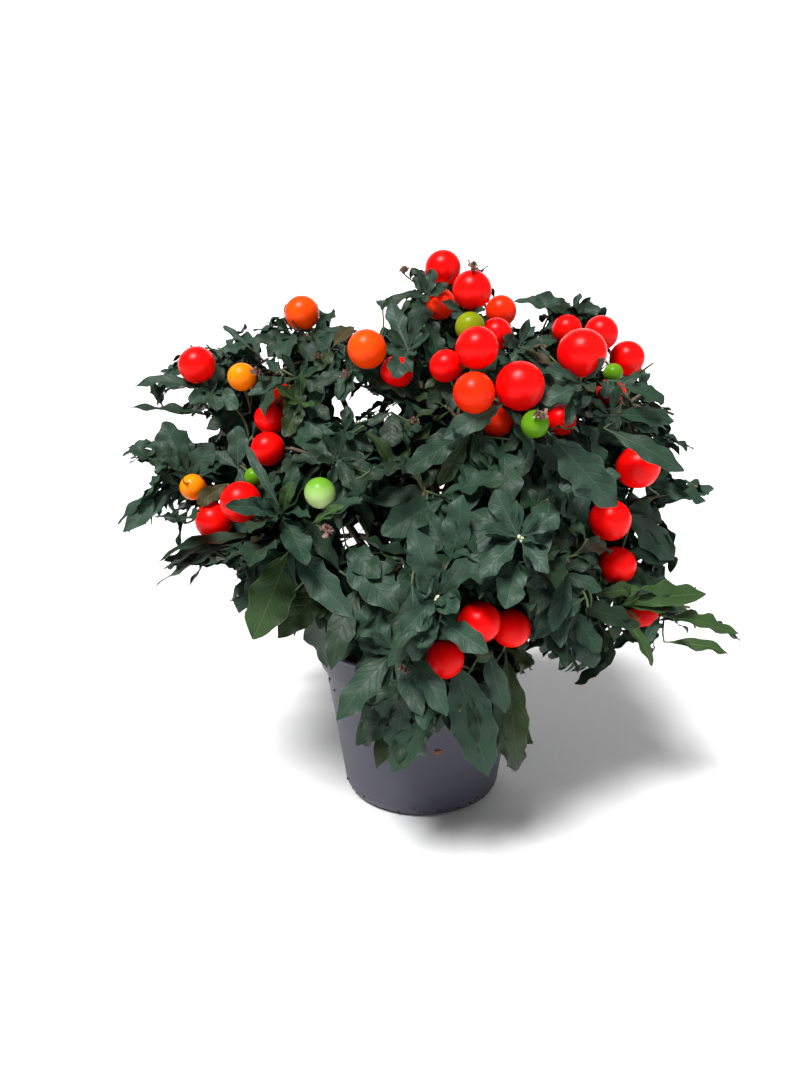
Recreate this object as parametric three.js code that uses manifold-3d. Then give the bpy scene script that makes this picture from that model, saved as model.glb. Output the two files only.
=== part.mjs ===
// A potted jerusalem cherry: a small evergreen shrub with round orange-red fruit, in a 12 cm nursery pot.
// Millimetres, +Z up. The origin is the centre of the pot's flat underside. -Y is the side with the most
// fruit, and +X is to the right of someone who looks at it.
import * as THREE from "three";
import { mergeVertices } from "three/addons/utils/BufferGeometryUtils.js";
import Module from "manifold-3d";

const wasm = await Module();
wasm.setup();

// Pot: a thermoformed nursery pot with a rim band and a rounded heel
const POT_HEIGHT = 92;
const RIM_RADIUS = 61;
const RIM_LIP = 2;
const BAND_HEIGHT = 15;
const BAND_RADIUS = 58.6;
const WALL_TOP_RADIUS = 56.2;
const HEEL_HEIGHT = 13;
const HEEL_RADIUS = 46;
const FOOT_RADIUS = 38;
const WALL = 1.6;
const FLOOR = 2.4;
const POT_SIDES = 24;
const DRAIN_HOLES = 8;
const DRAIN_HOLE_RADIUS = 4;
const DRAIN_HOLE_SIDES = 6;
const DRAIN_CIRCLE_RADIUS = 27;

// Soil, 8 mm below the rim
const SOIL_TOP = 84;
const SOIL_GAP = 0.5;

// Trunk: it stands on the soil, leans a little to the right, and forks low
const TRUNK_TIP = new THREE.Vector3(3, -2, 122);
const TRUNK_FOOT_RADIUS = 5.4;
const TRUNK_TIP_RADIUS = 3.8;
const FLARE = 2.8;
const FLARE_FALL = 7;
const FLARE_LOBES = 5;
const LOBE_DEPTH = 0.35;
const TRUNK_SIDES = 12;
const TRUNK_STEPS = 7;

// Boughs: each tapers from its root to the mass of foliage that it ends in. It leaves the trunk rising,
// arrives along the mass's way of growing, and stops short of its middle by a share of the mass's reach.
const BOUGH_ROOT_RADIUS = 2.6;
const SIDE_BOUGH_ROOT_RADIUS = 1.9;
const BOUGH_TIP_RADIUS = 1.4;
const BOUGH_SIDES = 5;
const BOUGH_STEPS = 4;
const BOUGH_RISE = 0.75;
const BOUGH_LEAVE = 0.35;
const BOUGH_ARRIVE = 0.3;
const BOUGH_SHORT = 0.8;

// Twigs: a mass's stem, and the shoots that fan from it between two shares of its length, each bent
// outwards by a share of its own
const STEM_TIP_RADIUS = 1.3;
const SHOOT_ROOT_RADIUS = 1.2;
const SHOOT_TIP_RADIUS = 0.9;
const TWIG_SIDES = 3;
const SHOOT_STEPS = 2;
const SHOOT_ROOTS = [0.95, 0.5];
const SHOOT_BEND = 0.4;
const SHOOT_REACH = [0.9, 1.1];

// Fruit: round, each on a stalk that widens to its calyx
const FRUIT_SIDES = 7;
const FRUIT_RINGS = 4;
const STALK_ROOT_RADIUS = 0.5;
const STALK_TIP_RADIUS = 1.4;
const STALK_SUNK = 3;
const STALK_ROOTS = [0.4, 0.6, 0.8, 0.95];
const STALK_LEAST = 2;
const FRUIT_ROOM = 5;

// Leaves: kites, widest before the middle, arched and folded a little along the midrib. They stand along
// each shoot between two shares of it, smaller towards its tip, and open from it by two angles in degrees.
const LEAF_WIDTH = 0.54;
const LEAF_WIDEST = 0.44;
const LEAF_THICKNESS = 0.04;
const LEAF_ARCH = 0.08;
const LEAF_FOLD = 0.1;
const LEAF_LIFT = 0.7;
const LEAF_OPEN = [84, 34];
const LEAF_SHARES = [0.28, 0.96];
const LEAF_TAPER = 0.25;
const LEAF_SIZES = [0.95, 1.2];
const LEAF_TURN = 1.3;
const LEAF_SHRINK = 0.025;

// Clearances: between pieces that meet, between masses, and round limbs and fruit
const CLEAR = 0.3;
const SPACE_MARGIN = 0.25;
const KEEP_OFF = 0.3;

// The rule of growth
const HEART = new THREE.Vector3(0, 0, 140);
const GOLDEN_ANGLE = Math.PI * (3 - Math.sqrt(5));
const CAP_ANGLE = THREE.MathUtils.degToRad(108);
const SHOOTS = 4;
const LEAVES_A_SHOOT = 5;
const LEAF_TRIES = 20;
const SEED = 2024;

// The masses of foliage. A row holds the name, the trunk or bough that its own bough springs from and where
// along that (a height on the trunk, or a share of the bough's length), its middle, how far its shoots reach
// from there, its longest leaf, and how much its leaves droop.
const MASSES = [
  ["left_shoulder", "trunk", 107, [-106, 6, 236], [38, 34, 22], 48, 0.1],
  ["left_side", "left_shoulder", 0.5, [-108, -34, 188], [42, 30, 24], 50, 0.25],
  ["left_top", "trunk", 114, [-54, -8, 248], [30, 36, 26], 46, 0],
  ["left_front", "left_top", 0.45, [-46, -68, 200], [28, 22, 24], 48, 0.25],
  ["left_low", "trunk", 96, [-80, -60, 148], [38, 30, 20], 54, 0.2],
  ["top", "tip", 0, [8, -12, 264], [30, 30, 24], 44, 0],
  ["crown_front", "top", 0.5, [16, -76, 226], [32, 26, 26], 50, 0.3],
  ["right_top", "trunk", 112, [68, 14, 256], [30, 30, 20], 46, 0],
  ["right_front", "right_top", 0.5, [68, -66, 222], [26, 24, 26], 52, 0.3],
  ["right_shoulder", "trunk", 105, [110, -14, 226], [26, 32, 26], 48, 0.15],
  ["right_side", "right_shoulder", 0.5, [112, -24, 174], [32, 32, 22], 52, 0.25],
  ["right_low", "trunk", 95, [106, -26, 124], [38, 32, 18], 52, 0.2],
  ["front", "trunk", 104, [-4, -96, 164], [34, 24, 28], 52, 0.3],
  ["front_right", "front", 0.5, [52, -86, 156], [30, 22, 26], 52, 0.3],
  ["apron", "trunk", 92, [4, -90, 106], [38, 16, 18], 54, 0.9],
  ["back_left", "trunk", 101, [-84, 80, 204], [36, 34, 28], 52, 0.2],
  ["back_low_left", "back_left", 0.45, [-74, 84, 138], [36, 34, 24], 56, 0.3],
  ["back_top", "trunk", 109.5, [0, 70, 244], [36, 32, 24], 48, 0.1],
  ["back_middle", "back_top", 0.45, [2, 112, 182], [34, 26, 32], 54, 0.3],
  ["back_right", "trunk", 100, [86, 78, 204], [36, 34, 28], 52, 0.2],
  ["back_low_right", "back_right", 0.45, [76, 86, 138], [36, 34, 24], 56, 0.3],
].map(([name, from, root, at, reach, leaf, droop]) => ({
  name,
  from,
  root,
  at: vector(at),
  reach: vector(reach),
  leaf,
  droop,
}));

// The front view that the fruit were read off: where its eye is, how far it looks down, and its focal length
// and middle in pixels
const EYE = new THREE.Vector3(-10, -451, 240);
const EYE_PITCH = THREE.MathUtils.degToRad(11.5);
const FOCAL_LENGTH = 811;
const VIEW_MIDDLE = [405, 540];

// The fruit of the side that is known, by mass: where each shows in that view, in pixels across and down, its
// depth, and its diameter
const FRUIT = {
  left_shoulder: [
    [197, 365, -30, 19],
    [242, 377, -35, 14.5],
  ],
  left_side: [
    [268, 449, -50, 17],
    [254, 477, -60, 9.5],
    [193, 487, -55, 13],
    [241, 502, -75, 19.5],
    [214, 521, -58, 18.5],
  ],
  left_top: [
    [302, 313, -5, 18.5],
    [367, 349, -62, 18.5],
    [280, 396, -25, 16],
    [270, 419, -38, 16],
    [397, 372, -54, 16],
  ],
  top: [
    [443, 268, -15, 18.5],
    [472, 290, -45, 19],
    [440, 304, -20, 16],
    [501, 311, -20, 16],
    [470, 327, -60, 14],
  ],
  crown_front: [
    [477, 348, -80, 19.5],
    [496, 334, -49, 15.5],
    [446, 366, -68, 15.5],
    [474, 393, -92, 18.5],
    [520, 386, -85, 22],
    [497, 420, -68, 16.5],
  ],
  right_top: [
    [567, 330, 5, 16.5],
    [601, 333, -18, 18],
  ],
  right_front: [
    [582, 353, -75, 22.5],
    [561, 420, -60, 15],
    [535, 424, -104, 12],
  ],
  right_shoulder: [
    [627, 358, -10, 18.5],
    [613, 373, -28, 10],
    [611, 392, -15, 15.5],
    [638, 467, -65, 21],
  ],
  right_side: [
    [610, 520, -62, 20.5],
    [617, 565, -50, 19.5],
  ],
  right_low: [[642, 613, -40, 17]],
  left_front: [[320, 493, -88, 14.5]],
  apron: [
    [479, 622, -112, 19],
    [511, 628, -100, 18],
    [445, 659, -104, 18],
  ],
};

// The masses behind bear theirs by rule: how many each, the diameter of the first, how far past the
// mass's reach it hangs, and how much nearer each next one is
const FRUIT_BEHIND = {
  back_left: 3,
  back_low_left: 1,
  back_top: 2,
  back_middle: 2,
  back_right: 3,
  back_low_right: 1,
};
const FRUIT_BEHIND_DIAMETER = 19;
const FRUIT_BEHIND_OUT = 6;
const FRUIT_BEHIND_STEP = 5;

// Finishes
const FINISHES = {
  pot: { color: "#4a4550", roughness: 0.6, metalness: 0 },
  soil: { color: "#4a2f22", roughness: 1, metalness: 0 },
  bark: { color: "#5a4a38", roughness: 0.9, metalness: 0 },
  foliage: { color: "#2f4a3a", roughness: 0.75, metalness: 0 },
};

function vector(place) {
  return new THREE.Vector3(...place);
}

/** A seeded stream of numbers from 0 to 1. */
function stream(seed) {
  let state = seed >>> 0;
  return () => {
    state = (Math.imul(state, 1664525) + 1013904223) >>> 0;
    return state / 4294967296;
  };
}

/** A radius that runs from root to tip along a limb. */
function taper(root, tip) {
  return (share) => THREE.MathUtils.lerp(root, tip, share);
}

/** A closed three.js geometry as a solid. */
function solid(geometry) {
  geometry.deleteAttribute("normal");
  geometry.deleteAttribute("uv");
  const merged = mergeVertices(geometry, 1e-4);
  const corners = merged.index.array;
  const triangles = [];
  for (let i = 0; i < corners.length; i += 3) {
    const [a, b, c] = corners.slice(i, i + 3);
    if (a !== b && b !== c && c !== a) triangles.push(a, b, c);
  }
  return new wasm.Manifold(
    new wasm.Mesh({
      numProp: 3,
      vertProperties: merged.attributes.position.array,
      triVerts: new Uint32Array(triangles),
    }),
  );
}

/** The largest body of a solid: loose scraps are dropped and sealed hollows filled. */
function largest(made) {
  return made.decompose().reduce((a, b) => (b.volume() > a.volume() ? b : a));
}

/** A named mesh of a solid. */
function mesh(name, made, finish) {
  const { vertProperties, triVerts } = made.getMesh();
  const geometry = new THREE.BufferGeometry();
  geometry.setAttribute("position", new THREE.BufferAttribute(new Float32Array(vertProperties), 3));
  geometry.setIndex(new THREE.BufferAttribute(new Uint32Array(triVerts), 1));
  geometry.computeVertexNormals();
  const result = new THREE.Mesh(geometry, new THREE.MeshStandardMaterial(FINISHES[finish]));
  result.name = name;
  return result;
}

/** A solid of revolution about +Z from radius and height pairs that start and end on the axis. */
function turned(profile, sides) {
  const points = profile.map(([radius, height]) => new THREE.Vector2(radius, height));
  return solid(new THREE.LatheGeometry(points, sides).rotateX(Math.PI / 2));
}

/**
 * A closed cylinder bent along a curve. radiusAt gives its radius from the share of its length and the angle
 * round it; grow makes it that much fatter, and longer at both ends.
 */
function limb(curve, radiusAt, sides, steps, grow = 0) {
  const geometry = new THREE.CylinderGeometry(1, 1, 1, sides, steps);
  const frames = curve.computeFrenetFrames(steps);
  const place = geometry.attributes.position;
  for (let i = 0; i < place.count; i++) {
    const step = Math.round((place.getY(i) + 0.5) * steps);
    const [x, z] = [place.getX(i), place.getZ(i)];
    const radius = radiusAt(step / steps, Math.atan2(z, x)) + grow;
    const past = step === 0 ? -grow : step === steps ? grow : 0;
    const spot = curve
      .getPointAt(step / steps)
      .addScaledVector(frames.tangents[step], past)
      .addScaledVector(frames.normals[step], x * radius)
      .addScaledVector(frames.binormals[step], -z * radius);
    place.setXYZ(i, ...spot);
  }
  return geometry;
}

/** The pot's wall radius outside, at a height between the heel and the rim band. */
function wallRadius(height) {
  const share = (height - HEEL_HEIGHT) / (POT_HEIGHT - BAND_HEIGHT - HEEL_HEIGHT);
  return THREE.MathUtils.lerp(HEEL_RADIUS, WALL_TOP_RADIUS, share);
}

/** The pot, with drain holes round the middle of its underside. */
function pot() {
  const band = POT_HEIGHT - BAND_HEIGHT;
  let made = turned(
    [
      [0, 0],
      [FOOT_RADIUS, 0],
      [HEEL_RADIUS - 3.2, 2.6],
      [HEEL_RADIUS - 0.9, 6.5],
      [HEEL_RADIUS, HEEL_HEIGHT],
      [WALL_TOP_RADIUS, band],
      [BAND_RADIUS, band + 0.8],
      [RIM_RADIUS - 0.8, POT_HEIGHT - RIM_LIP],
      [RIM_RADIUS, POT_HEIGHT - RIM_LIP / 2],
      [RIM_RADIUS - 0.6, POT_HEIGHT],
      [RIM_RADIUS - 0.8 - WALL, POT_HEIGHT],
      [BAND_RADIUS - WALL, band + 2],
      [wallRadius(band - 2) - WALL, band - 2],
      [HEEL_RADIUS - WALL, HEEL_HEIGHT],
      [HEEL_RADIUS - 4, FLOOR + 2.6],
      [FOOT_RADIUS - 1, FLOOR],
      [0, FLOOR],
    ],
    POT_SIDES,
  );
  for (let i = 0; i < DRAIN_HOLES; i++) {
    const angle = ((i + 0.5) / DRAIN_HOLES) * 2 * Math.PI;
    const hole = new THREE.CylinderGeometry(DRAIN_HOLE_RADIUS, DRAIN_HOLE_RADIUS, 4 * FLOOR, DRAIN_HOLE_SIDES)
      .rotateX(Math.PI / 2)
      .translate(DRAIN_CIRCLE_RADIUS * Math.cos(angle), DRAIN_CIRCLE_RADIUS * Math.sin(angle), 0);
    made = made.subtract(solid(hole));
  }
  return made;
}

/** The soil fills the pot to SOIL_TOP, clear of its wall and floor. */
function soil() {
  const within = (radius) => radius - WALL - SOIL_GAP;
  return turned(
    [
      [0, FLOOR + CLEAR],
      [FOOT_RADIUS - 2, FLOOR + CLEAR],
      [HEEL_RADIUS - 5, FLOOR + 3.4],
      [within(HEEL_RADIUS), HEEL_HEIGHT + 1],
      [within(wallRadius(SOIL_TOP)), SOIL_TOP],
      [0, SOIL_TOP],
    ],
    POT_SIDES,
  );
}

/** The trunk's line: upright at the soil, then leaning to its tip. */
const trunkLine = new THREE.QuadraticBezierCurve3(
  new THREE.Vector3(0, 0, SOIL_TOP + CLEAR),
  new THREE.Vector3(0, 0, (SOIL_TOP + TRUNK_TIP.z) / 2),
  TRUNK_TIP,
);

/** The trunk tapers, and flares into lobes at its foot. */
function trunk(grow) {
  const along = taper(TRUNK_FOOT_RADIUS, TRUNK_TIP_RADIUS);
  const radiusAt = (share, angle) =>
    along(share) + FLARE * Math.exp(-FLARE_FALL * share) * (1 + LOBE_DEPTH * Math.cos(FLARE_LOBES * angle));
  return solid(limb(trunkLine, radiusAt, TRUNK_SIDES, TRUNK_STEPS, grow));
}

/** The way a mass grows: from the heart of the crown out through its middle. */
function outward(mass) {
  return mass.at.clone().sub(HEART).normalize();
}

/** How far a mass's shoots reach from its middle along a direction. */
function reachAlong(mass, way) {
  return 1 / way.clone().divide(mass.reach).length();
}

/** Where a mass's bough ends and its stem begins. */
function entry(mass) {
  const way = outward(mass);
  return mass.at.clone().addScaledVector(way, -BOUGH_SHORT * reachAlong(mass, way));
}

/** The lines of all boughs by mass, each from its root on the trunk or on an earlier bough. */
function boughLines() {
  const lines = {};
  for (const mass of MASSES) {
    const end = entry(mass);
    let start;
    let leave;
    if (mass.from === "tip") {
      leave = trunkLine.getTangentAt(1);
      start = TRUNK_TIP.clone().addScaledVector(leave, CLEAR);
    } else if (mass.from === "trunk") {
      start = trunkLine.getPointAt((mass.root - SOIL_TOP) / (TRUNK_TIP.z - SOIL_TOP));
      leave = end.clone().sub(start).setZ(0).normalize().setZ(BOUGH_RISE).normalize();
    } else {
      start = lines[mass.from].getPointAt(mass.root);
      const straight = end.clone().sub(start).normalize();
      leave = lines[mass.from].getTangentAt(mass.root).multiplyScalar(0.5).add(straight).normalize();
    }
    const span = start.distanceTo(end);
    lines[mass.name] = new THREE.CubicBezierCurve3(
      start,
      start.clone().addScaledVector(leave, BOUGH_LEAVE * span),
      end.clone().addScaledVector(outward(mass), -BOUGH_ARRIVE * span),
      end,
    );
  }
  return lines;
}

/** A mass's bough along its line, fatter by grow. */
function bough(mass, line, grow) {
  const roots = { tip: TRUNK_TIP_RADIUS, trunk: BOUGH_ROOT_RADIUS };
  const root = roots[mass.from] ?? SIDE_BOUGH_ROOT_RADIUS;
  return solid(limb(line, taper(root, BOUGH_TIP_RADIUS), BOUGH_SIDES, BOUGH_STEPS, grow));
}

/** Directions spread evenly over a cap round a mass's way of growing. */
function fan(mass, count, turn) {
  const pole = outward(mass);
  const side = new THREE.Vector3(0, 0, 1).cross(pole).normalize();
  const other = pole.clone().cross(side);
  return Array.from({ length: count }, (_, k) => {
    const level = 1 - (k / (count - 1)) * (1 - Math.cos(CAP_ANGLE));
    const flat = Math.sqrt(1 - level * level);
    const angle = turn + k * GOLDEN_ANGLE;
    return pole
      .clone()
      .multiplyScalar(level)
      .addScaledVector(side, flat * Math.cos(angle))
      .addScaledVector(other, flat * Math.sin(angle));
  });
}

/** The place that shows at a pixel of the front view, at a depth. */
function seen(across, down, depth) {
  const right = (across - VIEW_MIDDLE[0]) / FOCAL_LENGTH;
  const up = (VIEW_MIDDLE[1] - down) / FOCAL_LENGTH;
  const forth = Math.cos(EYE_PITCH) + up * Math.sin(EYE_PITCH);
  const rise = up * Math.cos(EYE_PITCH) - Math.sin(EYE_PITCH);
  const far = (depth - EYE.y) / forth;
  return EYE.clone().add(new THREE.Vector3(right, forth, rise).multiplyScalar(far));
}

/** The fruit of a mass, each with its middle and radius. */
function fruitOf(mass, index) {
  const known = (FRUIT[mass.name] ?? []).map(([across, down, depth, diameter]) => ({
    middle: seen(across, down, depth),
    radius: diameter / 2,
  }));
  const count = FRUIT_BEHIND[mass.name] ?? 0;
  const behind = fan(mass, count + 1, 1 + index)
    .slice(0, count)
    .map((aim, k) => {
      const out = reachAlong(mass, aim) + FRUIT_BEHIND_OUT - FRUIT_BEHIND_STEP * k;
      return { middle: mass.at.clone().addScaledVector(aim, out), radius: (FRUIT_BEHIND_DIAMETER - k) / 2 };
    });
  return [...known, ...behind];
}

/** A point moved clear of some fruit, with room for a rosette of leaves. */
function clearOf(fruits, point) {
  for (const { middle, radius } of fruits) {
    const off = point.clone().sub(middle);
    const short = radius + FRUIT_ROOM - off.length();
    if (short > 0) point.addScaledVector(off.normalize(), short);
  }
  return point;
}

/** A mass's stem, from its bough's tip to its middle, and the shoots that fan from it. */
function skeleton(mass, index, fruits) {
  const next = stream(SEED + 97 * index);
  const way = outward(mass);
  const start = entry(mass).addScaledVector(way, CLEAR);
  const stem = new THREE.LineCurve3(start, mass.at);
  const shoots = fan(mass, SHOOTS, 2 * Math.PI * next()).map((aim, k) => {
    const root = stem.getPointAt(THREE.MathUtils.lerp(...SHOOT_ROOTS, k / (SHOOTS - 1)));
    const reach = reachAlong(mass, aim) * THREE.MathUtils.lerp(...SHOOT_REACH, next());
    const tip = clearOf(fruits, mass.at.clone().addScaledVector(aim, reach));
    const bend = root.clone().addScaledVector(way, SHOOT_BEND * root.distanceTo(tip));
    return new THREE.QuadraticBezierCurve3(root, bend, tip);
  });
  return { stem, shoots };
}

/** How far inside its reach a point is: the least of all masses owns the point. */
function depth(mass, point) {
  const { x, y, z } = mass.reach;
  return point.distanceToSquared(mass.at) - (x * y * z) ** (2 / 3);
}

/** Whether every corner of a geometry is in a mass's own space, by a margin. */
function keepsToSpace(geometry, mass) {
  const place = geometry.attributes.position;
  const point = new THREE.Vector3();
  for (let i = 0; i < place.count; i++) {
    point.fromBufferAttribute(place, i);
    const own = depth(mass, point);
    for (const other of MASSES) {
      const least = 2 * SPACE_MARGIN * mass.at.distanceTo(other.at);
      if (other !== mass && depth(other, point) - own < least) return false;
    }
  }
  return true;
}

/** A solid to keep clear of, with what owns it. */
function obstacle(made, owner = null) {
  return { made, box: made.boundingBox(), owner };
}

/** Whether a solid touches any of the obstacles. */
function touches(made, obstacles) {
  const own = made.boundingBox();
  return obstacles.some(({ box, made: other }) => {
    const apart = [0, 1, 2].some((i) => own.min[i] > box.max[i] || own.max[i] < box.min[i]);
    return !apart && !made.intersect(other).isEmpty();
  });
}

/** A round fruit, fatter by grow. */
function ball({ middle, radius }, grow) {
  const geometry = new THREE.SphereGeometry(radius + grow, FRUIT_SIDES, FRUIT_RINGS);
  return solid(geometry.rotateX(Math.PI / 2).translate(...middle));
}

/** The twigs of a mass that keep to its space and touch nothing: its stem and its shoots. */
function twigs(mass, { stem, shoots }, obstacles) {
  const core = solid(limb(stem, taper(BOUGH_TIP_RADIUS, STEM_TIP_RADIUS), TWIG_SIDES, 1));
  const kept = [];
  for (const shoot of shoots) {
    const shape = limb(shoot, taper(SHOOT_ROOT_RADIUS, SHOOT_TIP_RADIUS), TWIG_SIDES, SHOOT_STEPS);
    if (!keepsToSpace(shape, mass)) continue;
    const twig = solid(shape);
    if (!touches(twig, obstacles)) kept.push({ shoot, twig });
  }
  return { stem, core, kept };
}

/** The stalk of a fruit from the nearest twig of its mass that it can reach, or null. */
function stalk(fruit, { stem, kept }, obstacles) {
  const roots = [stem, ...kept.map(({ shoot }) => shoot)]
    .flatMap((line) => STALK_ROOTS.map((share) => line.getPointAt(share)))
    .filter((root) => root.distanceTo(fruit.middle) > fruit.radius + STALK_LEAST)
    .sort((a, b) => a.distanceTo(fruit.middle) - b.distanceTo(fruit.middle));
  for (const root of roots) {
    const way = root.clone().sub(fruit.middle).normalize();
    const tip = fruit.middle.clone().addScaledVector(way, fruit.radius - STALK_SUNK);
    const line = new THREE.LineCurve3(root, tip);
    const along = taper(STALK_ROOT_RADIUS, STALK_TIP_RADIUS);
    const shape = (grow) => solid(limb(line, along, TWIG_SIDES, 1, grow));
    const fat = shape(KEEP_OFF);
    if (!touches(fat, obstacles)) return { made: shape(0), fat };
  }
  return null;
}

/** One leaf from its root along a direction, its upper side towards up. */
function leaf(root, along, up, length) {
  const across = up.clone().cross(along).normalize();
  const face = along.clone().cross(across);
  const geometry = new THREE.OctahedronGeometry(1, 0);
  const place = geometry.attributes.position;
  for (let i = 0; i < place.count; i++) {
    const [x, y, z] = [place.getX(i), place.getY(i), place.getZ(i)].map(Math.round);
    const share = x < 0 ? 0 : x > 0 ? 1 : LEAF_WIDEST;
    const lift = x === 0 ? LEAF_ARCH + Math.abs(y) * LEAF_FOLD * LEAF_WIDTH : 0;
    const spot = root
      .clone()
      .addScaledVector(along, share * length)
      .addScaledVector(across, (y * LEAF_WIDTH * length) / 2)
      .addScaledVector(face, (z * LEAF_THICKNESS * length) / 2 + lift * length);
    place.setXYZ(i, ...spot);
  }
  return geometry;
}

/** Where a leaf of a shoot points: turned round the shoot, opened from it, and drooping. */
function leafWay(shoot, share, angle, droop) {
  const along = shoot.getTangentAt(share);
  const side = new THREE.Vector3(0, 0, 1).cross(along).normalize();
  const other = along.clone().cross(side);
  const open = THREE.MathUtils.degToRad(THREE.MathUtils.lerp(...LEAF_OPEN, share * share));
  const way = along
    .multiplyScalar(Math.cos(open))
    .addScaledVector(side, Math.sin(open) * Math.cos(angle))
    .addScaledVector(other, Math.sin(open) * Math.sin(angle));
  way.z -= droop;
  return way.normalize();
}

/** The way a leaf's upper side faces: up, and out from the heart of the crown. */
function leafFace(root) {
  return root.clone().sub(HEART).normalize().add(new THREE.Vector3(0, 0, LEAF_LIFT));
}

/** The leaves of a mass: each is turned and shortened until it is in its space and touches nothing. */
function leaves(mass, index, kept, obstacles) {
  const next = stream(SEED + 31 + 89 * index);
  const grown = [];
  kept.forEach(({ shoot, twig }, k) => {
    const near = obstacles.filter(({ owner }) => owner !== twig);
    for (let j = 0; j < LEAVES_A_SHOOT; j++) {
      const share = THREE.MathUtils.lerp(...LEAF_SHARES, j / (LEAVES_A_SHOOT - 1));
      const size = mass.leaf * (1 - LEAF_TAPER * share * share) * THREE.MathUtils.lerp(...LEAF_SIZES, next());
      for (let t = 0; t < LEAF_TRIES; t++) {
        const angle = (LEAF_TURN * k + j + t) * GOLDEN_ANGLE;
        const way = leafWay(shoot, share, angle, mass.droop);
        const root = shoot.getPointAt(share);
        const shape = leaf(root, way, leafFace(root), size * (1 - LEAF_SHRINK * t));
        if (!keepsToSpace(shape, mass)) continue;
        const made = solid(shape);
        if (touches(made, near) || touches(made, grown)) continue;
        grown.push(obstacle(made));
        break;
      }
    }
  });
  return grown.map(({ made }) => made);
}

const plant = new THREE.Group();
plant.add(mesh("pot", pot(), "pot"));
plant.add(mesh("soil", soil(), "soil"));
plant.add(mesh("trunk", trunk(0), "bark"));

// Boughs, each cut clear of the limb that it springs from
const lines = boughLines();
const parents = { trunk: trunk(CLEAR + 0.1), tip: trunk(0) };
const limbs = [obstacle(pot()), obstacle(soil()), obstacle(parents.trunk)];
for (const mass of MASSES) {
  parents[mass.name] = bough(mass, lines[mass.name], KEEP_OFF);
  limbs.push(obstacle(parents[mass.name]));
  const cut = bough(mass, lines[mass.name], 0).subtract(parents[mass.from]);
  plant.add(mesh("bough_" + mass.name, largest(cut), "bark"));
}

// Twigs first, then the stalks of the fruit, then the leaves, each clear of what came before
const fruits = MASSES.map(fruitOf);
const balls = fruits.flatMap((own, i) => own.map((fruit) => obstacle(ball(fruit, KEEP_OFF), MASSES[i])));
const growths = MASSES.map((mass, i) =>
  twigs(mass, skeleton(mass, i, fruits.flat()), [...limbs, ...balls.filter(({ owner }) => owner !== mass)]),
);
const woody = growths.flatMap(({ core, kept }, i) =>
  [core, ...kept.map(({ twig }) => twig)].map((made) => obstacle(made, MASSES[i])),
);
const stalks = [];
const borne = MASSES.map((mass, i) =>
  fruits[i].flatMap((fruit) => {
    const others = [...woody, ...balls, ...stalks].filter(({ owner }) => owner !== mass);
    const carried = stalk(fruit, growths[i], [...limbs, ...others]);
    if (!carried) return [];
    stalks.push(obstacle(carried.fat, mass));
    return [ball(fruit, 0), carried.made];
  }),
);
MASSES.forEach((mass, i) => {
  const { core, kept } = growths[i];
  const own = [obstacle(core), ...kept.map(({ twig }) => obstacle(twig, twig))];
  const grown = leaves(mass, i, kept, [...limbs, ...balls, ...stalks, ...own]);
  const joined = wasm.Manifold.union([core, ...kept.map(({ twig }) => twig), ...borne[i], ...grown]);
  plant.add(mesh("foliage_" + mass.name, largest(joined), "foliage"));
});

export default plant;
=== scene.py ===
import logging
import math
from collections.abc import Callable
from dataclasses import dataclass
from enum import Enum
from functools import cache

import bmesh
import bpy
import numpy as np
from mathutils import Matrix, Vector, noise


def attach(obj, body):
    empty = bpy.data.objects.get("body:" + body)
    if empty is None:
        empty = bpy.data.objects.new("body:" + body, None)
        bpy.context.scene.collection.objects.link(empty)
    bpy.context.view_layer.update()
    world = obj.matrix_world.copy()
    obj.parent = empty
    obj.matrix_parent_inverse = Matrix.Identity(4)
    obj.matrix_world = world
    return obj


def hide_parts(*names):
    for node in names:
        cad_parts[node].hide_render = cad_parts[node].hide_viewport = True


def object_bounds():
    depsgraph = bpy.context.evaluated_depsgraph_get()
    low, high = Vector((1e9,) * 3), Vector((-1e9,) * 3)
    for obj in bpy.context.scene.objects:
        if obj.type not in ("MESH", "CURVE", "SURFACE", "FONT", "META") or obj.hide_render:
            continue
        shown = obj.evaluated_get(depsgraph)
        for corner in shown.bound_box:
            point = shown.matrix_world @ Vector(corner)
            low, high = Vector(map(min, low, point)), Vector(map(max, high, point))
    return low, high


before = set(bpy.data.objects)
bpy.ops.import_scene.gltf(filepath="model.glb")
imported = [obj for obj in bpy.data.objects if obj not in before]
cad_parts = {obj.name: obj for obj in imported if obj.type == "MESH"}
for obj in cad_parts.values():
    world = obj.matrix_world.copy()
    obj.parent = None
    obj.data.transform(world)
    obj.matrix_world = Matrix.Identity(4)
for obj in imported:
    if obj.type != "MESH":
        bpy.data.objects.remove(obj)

# A potted jerusalem cherry: a small evergreen shrub with round orange-red fruit, in a 12 cm nursery pot.
# Sizes are in millimetres and become metres where a mesh is written. -Y is the side with the most fruit.
log = logging.getLogger("jerusalem_cherry")

CAD_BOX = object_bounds()
METRE = 0.001
SEED = 2024
GOLDEN_ANGLE = math.pi * (3 - math.sqrt(5))
UP = np.array((0.0, 0.0, 1.0))
HEART = np.array((0.0, 0.0, 140.0))

POT_HEIGHT = 92.0
RIM_RADIUS = 61.0
SOIL_TOP = 84.0
TRUNK_TIP = np.array((3.0, -2.0, 122.0))
TRUNK_FOOT_RADIUS = 5.4
TRUNK_TIP_RADIUS = 3.8
BOUGH_ROOT_RADIUS = 2.6
SIDE_BOUGH_ROOT_RADIUS = 1.9
BOUGH_TIP_RADIUS = 1.4
SHOOTS = 4
FAN_ANGLE = math.radians(108)

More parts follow.
